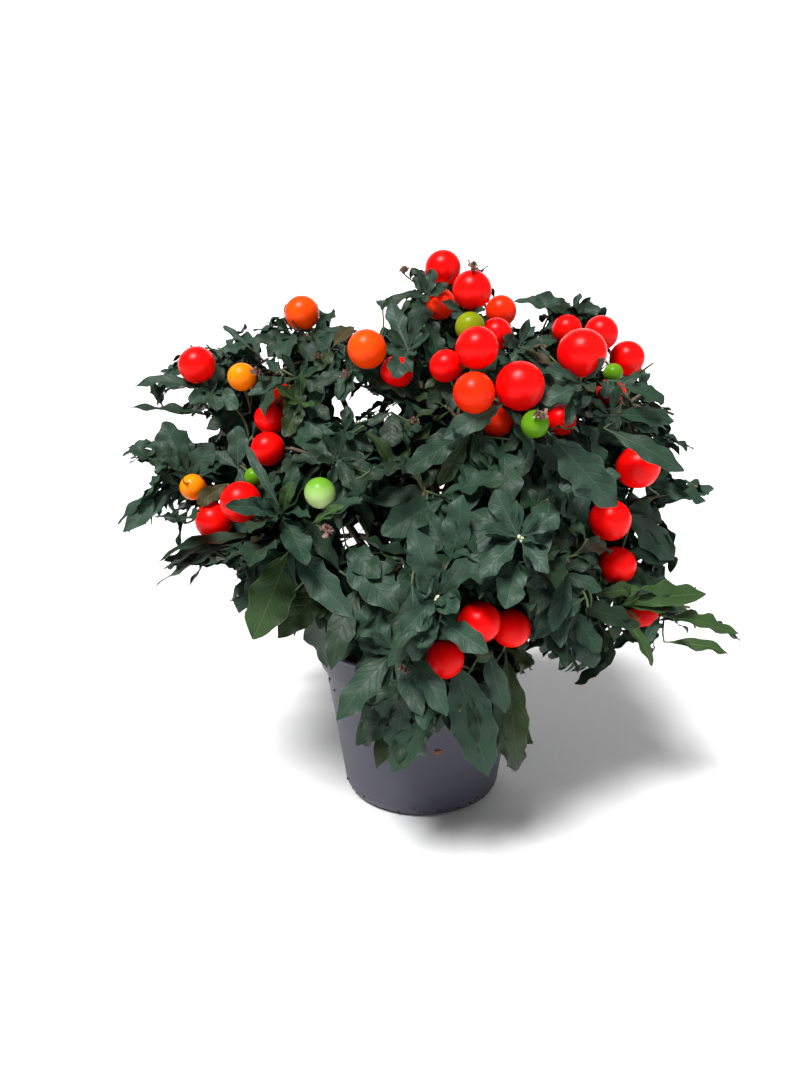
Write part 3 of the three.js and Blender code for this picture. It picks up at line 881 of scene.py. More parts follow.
class LeafShape:
    """The shape of leaves: a grid with narrow strips for midrib and edges, bent to each leaf's form. The pale
    edges are partly the margin's own colour and partly a painted highlight.

    Attributes:
        MAP: The name of the map that holds each corner's place along and across the leaf.
        STALK: The share of the length that is stalk.
        RIB: Half the midrib's width where it starts.
        THINNING: The share of it that is gone at the tip.
        NARROW: The width under which a strip is a midrib or an edge, as a share of the half width.
        LEAST: The least half width, on the stalk and at the tip.
        CROWDING: How much the steps crowd towards the stalk.
        RISE: How the blade widens from the stalk: low is sudden, high is slow.
        SWING: How far the midrib has swung at the tip, in radians.
        APART: How far the waves of the two edges are apart, in radians.
        SCALLOP: How far the waves run in and out.
        CRIMP: How far they run up and down.
    """

    MAP = "along_and_across"
    STALK = 0.1
    RIB = 0.26
    THINNING = 0.7
    NARROW = 0.12
    LEAST = 0.5
    CROWDING = 1.3
    RISE = 0.88
    SWING = 9.0
    APART = 1.7
    SCALLOP = 0.6
    CRIMP = 1.3

    def __init__(self, steps: int, strips: tuple[float, ...]) -> None:
        """Makes the grid and reads the place of each corner along and across the leaf.

        Args:
            steps: How many steps it has from root to tip.
            strips: The lines along it, from -1 at one edge through the midrib to 1 at the other.
        """
        bm = bmesh.new()
        count = len(strips) - 1
        bmesh.ops.create_grid(bm, x_segments=steps, y_segments=count, size=1)
        for face in bm.faces:
            strip = int((face.calc_center_median().y + 1) / 2 * count)
            # Narrow strips take the second, paler finish: the midrib, and where a grid has edge strips the
            # rim, which is partly a painted highlight
            face.material_index = int(strips[strip + 1] - strips[strip] < self.NARROW)
        self.stencil = Stencil(bm)
        corners = self.stencil.corners
        self.share = 1 - ((1 - corners[:, 0]) / 2) ** self.CROWDING
        self.side = np.array(strips)[np.rint((corners[:, 1] + 1) / 2 * count).astype(int)]
        self.stencil.map = np.stack([self.share, self.side], -1)

    def half_width(self, close: np.ndarray) -> np.ndarray:
        """The blade's half width at each corner: none on the stalk.

        Args:
            close: How each leaf closes at its tip, as a column.

        Returns:
            The half widths as shares of the widest.
        """
        blade = np.clip((self.share[None] - self.STALK) / (1 - self.STALK), 0, 1)
        widest = self.RISE / (self.RISE + close)
        return blade**self.RISE * (1 - blade) ** close / (widest**self.RISE * (1 - widest) ** close)

    def laid(self, leaves: list[Leaf]) -> np.ndarray:
        """Lays out leaves.

        Args:
            leaves: The leaves.

        Returns:
            The corners of each in millimetres.
        """

        def column(name: str) -> np.ndarray:
            """One value of all leaves, as a column."""
            return np.array([getattr(leaf, name) for leaf in leaves], float)[:, None]

        def vectors(name: str) -> np.ndarray:
            """One vector of all leaves, with room for the corners."""
            return np.array([getattr(leaf, name) for leaf in leaves], float)[:, None, :]

        share, side = self.share[None], self.side[None]
        along = unit(vectors("along"))
        across = unit(np.cross(vectors("face"), along))
        face = np.cross(along, across)
        length = column("length")
        turn = column("bend") * share
        forth = length * share * np.sinc(turn / math.pi)
        down = length * share * turn / 2 * np.sinc(turn / (2 * math.pi)) ** 2
        normal = face * np.cos(turn)[..., None] + along * np.sin(turn)[..., None]
        swing = column("sway") * length * np.sin(self.SWING * share + column("phase")) * share
        roll = (column("twist") * share)[..., None]
        level = across * np.cos(roll) + normal * np.sin(roll)
        raised = normal * np.cos(roll) - across * np.sin(roll)
        half = self.half_width(column("close")) * column("width") * length / 2
        swell = 2 * math.pi * column("waves") * share
        wave = np.sin(swell + column("phase") + self.APART * np.sign(side))
        scallop = 1 + self.SCALLOP * column("ripple") * wave * np.abs(side)
        broad = np.maximum(half * scallop, self.LEAST)
        rib = np.minimum(self.RIB * (1 - self.THINNING * share), broad / 2)
        beside_rib = np.abs(side) < self.NARROW
        out = np.where(beside_rib, np.sign(side) * rib, side * broad) * np.cos(column("fold"))
        crimp = self.CRIMP * column("ripple") * half * side**2
        crimp = crimp * np.cos(swell + 2 * side + 2 * column("phase"))
        lift = np.abs(side) * half * np.sin(column("fold")) + crimp
        return (
            vectors("root")
            + along * forth[..., None]
            - face * down[..., None]
            + level * out[..., None]
            + raised * (lift + swing)[..., None]
        )


@dataclass
class Twig:
    """A twig that bears leaves.

    Attributes:
        line: Its line.
        mass: The number of its mass.
        thick: Its radius at the root and at the tip.
        tone: The colour of its spray.
    """

    line: Line
    mass: int
    thick: tuple[float, float]
    tone: Tone = Tone.SLATE


class Frame:
    """The lines of the plant's limbs, by the same rule as its solids."""

    BOUGH_CLIMB = 0.75
    PARENT_SHARE = 0.5
    FIRST_BEND = 0.35
    LAST_BEND = 0.3

    def __init__(self) -> None:
        """Works out all lines."""
        foot = np.array((0.0, 0.0, SOIL_TOP + CLEAR))
        middle = np.array((0.0, 0.0, (SOIL_TOP + TRUNK_TIP[2]) / 2))
        self.trunk = Line(foot, middle, TRUNK_TIP)
        self.boughs: dict[str, Line] = {}
        for mass in MASSES:
            self.boughs[mass.name] = self.bough(mass)

    def bough(self, mass: Mass) -> Line:
        """The line of a mass's bough, from its root on the trunk or on an earlier bough.

        Args:
            mass: The mass.

        Returns:
            The line.
        """
        end = mass.entry()
        if mass.source == "tip":
            leave = self.trunk.way(1)
            start = TRUNK_TIP + CLEAR * leave
        elif mass.source == "trunk":
            start = self.trunk.at((mass.root - SOIL_TOP) / (TRUNK_TIP[2] - SOIL_TOP))
            level = unit((end - start) * (1, 1, 0))
            leave = unit(level + self.BOUGH_CLIMB * UP)
        else:
            parent = self.boughs[mass.source]
            start = parent.at(mass.root)
            leave = unit(self.PARENT_SHARE * parent.way(mass.root) + unit(end - start))
        span = float(np.linalg.norm(end - start))
        first = start + self.FIRST_BEND * span * leave
        return Line(start, first, end - self.LAST_BEND * span * mass.outward(), end)


def fan(mass: Mass, count: int, turn: float) -> list[np.ndarray]:
    """Directions spread evenly over a cap round a mass's way of growing.

    Args:
        mass: The mass.
        count: How many directions.
        turn: The angle of the first.

    Returns:
        The directions.
    """
    pole = mass.outward()
    ways = []
    for k in range(count):
        level = 1 - k / (count - 1) * (1 - math.cos(FAN_ANGLE))
        around = ring(pole, turn + k * GOLDEN_ANGLE)
        ways.append(level * pole + math.sqrt(1 - level * level) * around)
    return ways


def berries_of(mass: Mass, index: int) -> list[Berry]:
    """The fruit of a mass: those that are known, or those that it bears by rule.

    Args:
        mass: The mass.
        index: Its number.

    Returns:
        Its fruit.
    """
    count = FRUIT_BEHIND.get(mass.name, 0)
    behind = []
    for k, aim in enumerate(fan(mass, count + 1, 1 + index)[:count] if count else []):
        out = mass.reach_along(aim) + FRUIT_BEHIND_OUT - FRUIT_BEHIND_STEP * k
        ripeness = RIPENESS_BEHIND[(index + 2 * k) % len(RIPENESS_BEHIND)]
        behind.append(Berry(tuple(mass.middle() + out * aim), FRUIT_BEHIND_ACROSS - k, ripeness, 0))
    readings = FRUIT.get(mass.name, [])
    known = [Berry(seen(*at), across, Ripeness(ripe), *rest) for at, across, ripe, *rest in readings]
    return [*known, *behind]


BERRIES = [berries_of(mass, index) for index, mass in enumerate(MASSES)]
ALL_BERRIES = [berry for own in BERRIES for berry in own]

# The middle and the squared size of each mass: a point belongs to the mass that it is deepest in. Then how
# near a twig may come to a fruit, how near its own stalk, in radii of the fruit, and the share of its radius
# that a fruit shows before twigs keep out of its view
MIDDLES = np.array([mass.at for mass in MASSES], float)
SIZES = np.array([math.prod(mass.reach) ** (2 / 3) for mass in MASSES])
FRUIT_GAP = 1.0
STALK_ENTRY = 1.1
SHOWING = 0.3


def mass_at(point: np.ndarray) -> int:
    """The number of the mass in whose space a point lies."""
    return int(np.argmin(((MIDDLES - point) ** 2).sum(axis=1) - SIZES))


def clear_of_fruit(point: np.ndarray) -> np.ndarray:
    """Moves a point clear of all fruit, with room for a rosette of leaves.

    Args:
        point: The point.

    Returns:
        Where it comes to lie.
    """
    for berry in ALL_BERRIES:
        off = point - np.array(berry.at)
        short = berry.across / 2 + ROSETTE_ROOM - float(np.linalg.norm(off))
        if short > 0:
            point = point + short * unit(off)
    return point


@dataclass(frozen=True)
class Opening:
    """A cone from the eye that stays open, so that what lies at its end shows.

    Attributes:
        aim: A point in its middle.
        radius: Its radius there.
        beyond: How far past that point it goes on.
    """

    aim: tuple[float, float, float]
    radius: float
    beyond: float = 0.0


class Views:
    """All openings of one kind of use."""

    def __init__(self, openings: list[Opening]) -> None:
        """Works out the cones.

        Args:
            openings: The openings.
        """
        aims = np.array([opening.aim for opening in openings], float) - EYE
        far = np.linalg.norm(aims, axis=1)
        self.aims = aims / far[:, None]
        self.reach = far + np.array([opening.beyond for opening in openings])
        self.cosines = np.cos(np.arctan(np.array([opening.radius for opening in openings]) / far))

    def holding(self, points: np.ndarray) -> np.ndarray:
        """Which points lie in an opening.

        Args:
            points: The points.

        Returns:
            True for those that do.
        """
        ways = points - EYE
        far = np.linalg.norm(ways, axis=1)[:, None]
        return ((ways @ self.aims.T > far * self.cosines) & (far < self.reach)).any(axis=1)


def sky_openings() -> list[Opening]:
    """The openings onto the sky, which go on behind the plant.

    Returns:
        The openings.
    """
    openings = []
    for across, down, radius in SKY:
        aim = seen(across, down, SKY_DEPTH)
        openings.append(Opening(aim, radius * math.dist(aim, EYE) / FOCAL_LENGTH, BEHIND_THE_PLANT))
    return openings


@cache
def known_views() -> Views:
    """The views onto the sky and onto the leaves of the known sprays.

    Returns:
        The views.
    """
    openings = sky_openings()
    for spray in SPRAYS:
        root = spray.root()
        for across, down, depth, *_ in spray.leaves:
            leaf = np.array(seen(across, down, depth)) - root
            for share in (0.5, 0.8):
                openings.append(Opening(tuple(root + share * leaf), radius=4, beyond=-2))
    return Views(openings)


def hiding(points: np.ndarray, own: Berry | None = None) -> np.ndarray:
    """Which points lie in a fruit, or hide from the front what shows there.

    Args:
        points: The points.
        own: The fruit that a stalk ends in, which it may enter.

    Returns:
        True for those that do.
    """
    found = known_views().holding(points)
    ways = points - EYE
    far = np.linalg.norm(ways, axis=1)
    for berry in ALL_BERRIES:
        middle = np.array(berry.at)
        radius = berry.across / 2
        away = np.linalg.norm(points - middle, axis=1)
        hit = away < radius + FRUIT_GAP
        if berry.open_share > SHOWING:
            reach = float(np.linalg.norm(middle - EYE))
            beside = np.linalg.norm(np.cross(ways, (middle - EYE) / reach), axis=1)
            hit |= (beside < radius) & (far < reach)
        found |= hit & (away > STALK_ENTRY * radius) if berry is own else hit
    return found


def routed(
    roots: np.ndarray, cost: np.ndarray, route: Callable[[np.ndarray], Line], own: Berry | None
) -> Line:
    """The cheapest line from some roots, where each point of it that hides something adds to its cost.

    Args:
        roots: The points that it can spring from.
        cost: The cost of each, in millimetres.
        route: Makes the line from a root.
        own: The fruit that it ends in.

    Returns:
        The line.
    """
    best, least = None, math.inf
    for i in np.argsort(cost)[:ROUTES_TRIED]:
        if cost[i] >= least:
            break
        line = route(roots[i])
        total = cost[i] + HIDING_COST * hiding(line.points[::2], own).mean()
        if total < least:
            best, least = line, total
    return best


@dataclass(frozen=True)
class Spray:
    """A spray that shows from the front.

    Attributes:
        mass: The mass that it belongs to.
        at: Where its leaves spring from, in pixels across and down and its depth.
        leaves: Each leaf's tip, in pixels across and down and its depth, its width as a share of its length,
            its tone, and how level it lies: from 0, facing the front, to 1, facing up.
    """

    mass: str
    at: tuple[float, float, float]
    leaves: list[tuple[float, float, float, float, str, float]]

    def root(self) -> np.ndarray:
        """Where its leaves spring from, in millimetres."""
        return np.array(seen(*self.at))


# The sprays that show from the front, as read off the front view
# Their tones are partly the leaves' own and partly painted shade: sprays in the middle and the upper left of
# the crown carry deeper tones where they lie in shade
SPRAYS = [
    Spray("left_shoulder", (213, 390, -28), [(134, 386, -28, 0.24, "s", 0.6),
        (160, 371, -18, 0.32, "s", 0.4), (190, 403, -42, 0.55, "p", 0.1), (217, 411, -46, 0.55, "p", 0.1),
        (238, 409, -42, 0.5, "p", 0.1), (222, 367, -22, 0.5, "s", 0.1)]),
    Spray("left_shoulder", (216, 418, -34), [(126, 410, -36, 0.22, "d", 0.6)]),
    Spray("left_shoulder", (250, 413, -30), [(206, 429, -38, 0.42, "d", 0.3)]),
    Spray("left_shoulder", (248, 346, -15), [(223, 326, -10, 0.25, "s", 0.3),
        (224, 353, -26, 0.5, "p", 0.1)]),
    Spray("left_top", (292, 334, 0), [(253, 331, 4, 0.26, "s", 0.6), (254, 345, -12, 0.42, "d", 0.3),
        (268, 357, -18, 0.45, "d", 0.2), (284, 360, -28, 0.5, "s", 0.1), (312, 360, -26, 0.45, "d", 0.1)]),
    Spray("left_top", (312, 334, -4), [(348, 331, 0, 0.3, "s", 0.6), (344, 343, -12, 0.28, "s", 0.5),
        (330, 352, -26, 0.5, "s", 0.1)]),
    Spray("left_top", (332, 348, -22), [(318, 371, -36, 0.5, "g", 0.1),
        (352, 327, -6, 0.45, "o", 0.3)]),
    Spray("left_top", (298, 378, -34), [(248, 395, -44, 0.3, "s", 0.5),
        (289, 428, -52, 0.42, "g", 0.1), (328, 392, -44, 0.45, "d", 0.2)]),
    Spray("left_top", (300, 402, -42), [(298, 440, -54, 0.2, "f", 0.2),
        (284, 437, -58, 0.42, "g", 0.1), (288, 418, -52, 0.5, "d", 0.1), (330, 418, -50, 0.5, "d", 0.1)]),
    Spray("left_front", (345, 432, -62), [(304, 438, -66, 0.42, "s", 0.2),
        (347, 406, -58, 0.5, "d", 0.1), (318, 464, -74, 0.5, "s", 0.1), (357, 477, -78, 0.45, "d", 0.1),
        (372, 452, -70, 0.5, "d", 0.1)]),
    Spray("left_top", (352, 370, -48), [(341, 401, -58, 0.6, "s", 0.1),
        (406, 396, -60, 0.32, "d", 0.3), (322, 385, -52, 0.4, "d", 0.3)]),
    Spray("left_top", (408, 350, -50), [(422, 333, -48, 0.5, "p", 0.1), (394, 377, -66, 0.65, "p", 0),
        (390, 303, -40, 0.4, "p", 0.1), (378, 352, -56, 0.4, "s", 0.2)]),
    Spray("left_side", (190, 476, -50), [(163, 422, -46, 0.55, "s", 0.1),
        (152, 441, -52, 0.4, "s", 0.1), (213, 443, -54, 0.6, "p", 0), (180, 430, -40, 0.5, "s", 0.1)]),
    Spray("left_side", (168, 474, -50), [(126, 446, -50, 0.27, "s", 0.5)]),
    Spray("left_side", (238, 468, -48), [(238, 426, -46, 0.55, "p", 0.1),
        (214, 452, -44, 0.5, "s", 0.1)]),
    Spray("left_side", (182, 486, -50), [(117, 524, -56, 0.22, "s", 0.5),
        (124, 532, -60, 0.3, "s", 0.3), (172, 512, -46, 0.4, "d", 0.3)]),
    Spray("left_side", (228, 484, -56), [(197, 504, -64, 0.5, "o", 0.2)]),
    Spray("left_low", (283, 514, -84), [(243, 441, -78, 0.13, "p", 0.3),
        (295, 462, -80, 0.32, "s", 0.1), (293, 482, -94, 0.4, "f", 0.1),
        (238, 500, -98, 0.3, "s", 0.3), (225, 506, -104, 0.3, "p", 0.3), (306, 566, -108, 0.42, "s", 0.1)]),
    Spray("left_low", (272, 536, -76), [(155, 562, -66, 0.2, "d", 0.6),
        (162, 568, -64, 0.18, "d", 0.6), (155, 591, -66, 0.2, "s", 0.5)]),
    Spray("left_low", (292, 544, -76), [(240, 613, -84, 0.27, "s", 0.2),
        (253, 640, -96, 0.46, "f", 0.1), (352, 618, -106, 0.33, "p", 0.1)]),
    Spray("left_low", (340, 572, -68), [(278, 638, -80, 0.42, "g", 0.1),
        (318, 618, -78, 0.5, "g", 0.1)]),
    Spray("left_low", (312, 524, -88), [(372, 498, -98, 0.26, "s", 0.3),
        (345, 506, -96, 0.32, "f", 0.2)]),
    Spray("left_front", (346, 545, -84), [(380, 578, -102, 0.5, "s", 0.1),
        (398, 615, -112, 0.48, "p", 0.1)]),
    Spray("front", (437, 597, -130), [(413, 528, -130, 0.46, "p", 0), (419, 566, -137, 0.56, "s", 0),
        (467, 558, -137, 0.42, "p", 0.1), (402, 633, -143, 0.53, "p", 0), (457, 613, -146, 0.54, "p", 0)]),
    Spray("front", (452, 568, -108), [(463, 495, -106, 0.45, "p", 0), (425, 510, -100, 0.4, "s", 0.1)]),
    Spray("front", (440, 620, -131), [(488, 652, -151, 0.42, "p", 0), (418, 648, -142, 0.52, "s", 0.1)]),
    Spray("front_right", (519, 538, -126), [(495, 490, -124, 0.54, "p", 0),
        (472, 512, -123, 0.45, "s", 0.1), (556, 514, -128, 0.44, "p", 0.1),
        (480, 578, -140, 0.38, "p", 0.1), (548, 573, -141, 0.38, "p", 0), (548, 540, -124, 0.4, "s", 0.1)]),
    Spray("front_right", (518, 562, -121), [(505, 609, -140, 0.52, "p", 0),
        (545, 598, -122, 0.45, "d", 0.1)]),
    Spray("front_right", (558, 572, -96), [(602, 590, -100, 0.36, "s", 0.2),
        (596, 560, -90, 0.4, "d", 0.2)]),
    Spray("front_right", (568, 605, -84), [(599, 653, -94, 0.4, "s", 0.1),
        (594, 668, -88, 0.45, "s", 0.1), (640, 625, -76, 0.35, "d", 0.3)]),
    Spray("right_low", (660, 616, -54), [(738, 634, -46, 0.27, "f", 0.35)]),
    Spray("right_low", (664, 642, -60), [(729, 653, -60, 0.26, "f", 0.25)]),
    Spray("right_low", (618, 606, -60), [(678, 612, -58, 0.26, "f", 0.25),
        (705, 595, -46, 0.34, "f", 0.25), (653, 666, -66, 0.2, "f", 0.25), (640, 620, -62, 0.16, "f", 0.3)]),
    Spray("right_low", (592, 596, -62), [(640, 589, -60, 0.34, "f", 0.3),
        (682, 590, -42, 0.32, "s", 0.4)]),
    Spray("right_side", (622, 508, -42), [(674, 560, -40, 0.4, "s", 0.2),
        (662, 520, -30, 0.5, "s", 0.2)]),
    Spray("right_side", (622, 552, -44), [(668, 560, -38, 0.45, "s", 0.3),
        (645, 590, -52, 0.4, "d", 0.1)]),
    Spray("right_side", (648, 486, -46), [(707, 501, -44, 0.34, "s", 0.3)]),
    Spray("right_front", (548, 432, -92), [(617, 506, -104, 0.44, "p", 0)]),
    Spray("right_shoulder", (604, 428, -80), [(684, 471, -86, 0.27, "s", 0.3)]),
    Spray("right_shoulder", (610, 415, -66), [(657, 438, -50, 0.3, "s", 0.3),
        (673, 421, -44, 0.28, "s", 0.3), (667, 432, -40, 0.2, "s", 0.4)]),
    Spray("right_shoulder", (608, 380, -54), [(653, 396, -48, 0.34, "p", 0.3),
        (605, 399, -64, 0.5, "p", 0.1)]),
    Spray("right_front", (582, 384, -78), [(544, 404, -88, 0.5, "p", 0.1),
        (546, 368, -80, 0.42, "p", 0.2), (575, 405, -86, 0.4, "s", 0.2),
        (566, 426, -84, 0.32, "s", 0.2)]),
    Spray("right_top", (572, 318, 16), [(514, 302, 14, 0.3, "s", 0.4), (536, 295, 16, 0.5, "s", 0.3),
        (546, 328, 12, 0.4, "d", 0.3), (580, 293, 16, 0.34, "s", 0.3), (600, 307, 14, 0.6, "s", 0.2),
        (558, 300, 15, 0.5, "d", 0.2)]),
    Spray("top", (466, 312, -44), [(452, 318, -54, 0.5, "p", 0.1), (486, 304, -36, 0.35, "d", 0.3),
        (455, 300, -30, 0.35, "d", 0.3), (484, 322, -52, 0.45, "s", 0.1)]),
    Spray("top", (432, 292, -14), [(380, 309, -12, 0.24, "d", 0.6), (397, 318, -22, 0.32, "d", 0.5),
        (410, 334, -32, 0.38, "s", 0.3), (431, 268, -14, 0.5, "p", 0.1), (412, 268, -12, 0.35, "d", 0.3)]),
    Spray("crown_front", (518, 348, -54), [(503, 336, -62, 0.5, "p", 0.1),
        (536, 326, -48, 0.36, "s", 0.3), (557, 341, -50, 0.34, "s", 0.3), (514, 362, -64, 0.5, "p", 0.1),
        (552, 366, -62, 0.3, "o", 0.3)]),
    Spray("crown_front", (504, 404, -86), [(444, 438, -98, 0.36, "p", 0.1)]),
    Spray("crown_front", (472, 430, -88), [(402, 473, -100, 0.3, "s", 0.1),
        (426, 442, -86, 0.34, "d", 0.2), (487, 471, -92, 0.5, "d", 0.1), (440, 486, -88, 0.36, "g", 0.1)]),
    Spray("crown_front", (532, 440, -84), [(520, 478, -92, 0.5, "d", 0.1),
        (560, 470, -84, 0.45, "d", 0.1)]),
    Spray("crown_front", (452, 372, -60), [(425, 388, -66, 0.36, "g", 0.3),
        (428, 408, -68, 0.42, "d", 0.2), (452, 412, -72, 0.45, "d", 0.1)]),
    Spray("left_front", (392, 412, -60), [(392, 447, -72, 0.6, "d", 0.1),
        (368, 425, -62, 0.4, "d", 0.2)]),
    Spray("front", (446, 498, -92), [(382, 535, -108, 0.46, "s", 0.1),
        (368, 502, -96, 0.34, "d", 0.3)]),
    Spray("apron", (395, 650, -108), [(358, 611, -104, 0.62, "p", 0.1),
        (336, 720, -120, 0.38, "s", 0.1), (422, 716, -126, 0.37, "p", 0.1), (357, 640, -100, 0.5, "s", 0.1)]),
    Spray("apron", (402, 698, -104), [(397, 762, -106, 0.46, "s", 0.1),
        (362, 745, -100, 0.4, "d", 0.1)]),
    Spray("apron", (410, 650, -116), [(447, 716, -134, 0.36, "p", 0.1)]),
    Spray("apron", (452, 652, -106), [(488, 776, -110, 0.38, "s", 0.1)]),
    Spray("apron", (486, 646, -104), [(505, 713, -110, 0.36, "p", 0.1)]),
    Spray("apron", (505, 648, -94), [(518, 763, -98, 0.3, "g", 0.1), (534, 664, -96, 0.45, "g", 0.1)]),
    Spray("top", (428, 296, -27), [(433, 269, -28, 0.5, "p", 0.1), (447, 283, -28, 0.5, "d", 0.1),
        (413, 277, -26, 0.42, "s", 0.2)]),
    Spray("left_front", (338, 460, -78), [(298, 457, -84, 0.42, "d", 0.2),
        (352, 489, -90, 0.45, "d", 0.1), (330, 486, -84, 0.4, "s", 0.1)]),
    Spray("right_shoulder", (620, 386, -62), [(664, 403, -58, 0.4, "s", 0.2),
        (641, 374, -58, 0.42, "s", 0.2)]),
]

# Round stretches of open sky in the front view, chosen one by one: their middles and radii in pixels
SKY = [
    (465, 245, 22), (280, 290, 14), (312, 278, 12), (335, 298, 7), (355, 298, 20), (395, 270, 10),
    (505, 275, 14), (540, 272, 14), (600, 285, 12), (600, 268, 16), (645, 290, 16), (175, 338, 14),
    (185, 322, 20), (200, 322, 16), (217, 338, 8), (230, 303, 14), (240, 310, 12), (256, 310, 12),
    (345, 312, 9), (372, 322, 6), (400, 300, 5), (402, 251, 13), (420, 328, 4), (515, 322, 4), (530, 312, 8),
    (625, 318, 12), (662, 320, 14), (120, 345, 20), (135, 365, 12), (145, 373, 7), (150, 350, 16),
    (158, 352, 14), (270, 347, 5), (655, 345, 14), (665, 355, 10), (700, 350, 24), (715, 370, 20),
    (103, 412, 16), (112, 400, 8), (150, 399, 5), (150, 401, 5), (170, 399, 4), (175, 402, 4),
    (345, 410, 7), (360, 401, 6), (375, 400, 4), (392, 412, 6), (657, 380, 4), (653, 385, 5),
    (664, 399, 5), (668, 380, 12), (690, 390, 22), (96, 440, 16), (105, 450, 16), (112, 430, 8),
    (130, 428, 12), (140, 425, 9),
    (150, 425, 8), (170, 425, 7), (185, 428, 8), (200, 425, 5), (205, 431, 6), (215, 436, 4),
    (690, 425, 14), (705, 455, 10), (722, 430, 20), (742, 455, 26), (106, 492, 14), (110, 500, 12),
    (115, 470, 8), (126, 500, 8), (133, 480, 14), (300, 476, 5), (640, 492, 7), (678, 470, 6),
    (695, 465, 13), (725, 475, 12), (165, 532, 10), (190, 535, 8), (347, 534, 6), (361, 530, 4),
    (415, 522, 3), (668, 516, 7), (690, 522, 14), (700, 530, 22), (745, 510, 30), (105, 565, 30),
    (132, 560, 14), (140, 550, 16), (150, 580, 5), (185, 575, 6), (222, 578, 12), (690, 570, 12),
    (698, 548, 14), (702, 576, 11), (705, 563, 12), (740, 560, 22), (752, 550, 24), (112, 600, 22),
    (125, 590, 16), (180, 600, 16), (215, 590, 10), (700, 602, 7), (715, 600, 8), (728, 583, 12),
    (735, 618, 9), (740, 600, 10), (757, 585, 14), (170, 625, 22), (200, 620, 26), (225, 655, 22),
    (236, 632, 8), (240, 628, 6), (255, 658, 12), (262, 642, 9), (290, 658, 12), (300, 652, 8),
    (313, 640, 6), (630, 660, 14), (642, 652, 6), (670, 650, 7), (672, 632, 7), (690, 640, 6),
    (700, 642, 10), (720, 646, 8), (765, 655, 18), (765, 620, 20), (262, 672, 18), (295, 690, 14),
    (305, 672, 12), (318, 690, 14), (345, 668, 9), (350, 698, 12), (548, 672, 9), (605, 690, 16),
    (660, 668, 6), (690, 665, 14), (715, 690, 30), (330, 735, 14), (545, 730, 14), (560, 700, 18),
    (560, 720, 22), (600, 700, 20), (640, 700, 26), (650, 700, 20), (690, 705, 20), (350, 770, 20),
    (440, 748, 14), (466, 765, 14), (545, 760, 18), (385, 805, 30), (425, 795, 30), (462, 805, 30),
    (505, 800, 22), (480, 830, 30),
]
SKY_DEPTH = -20.0


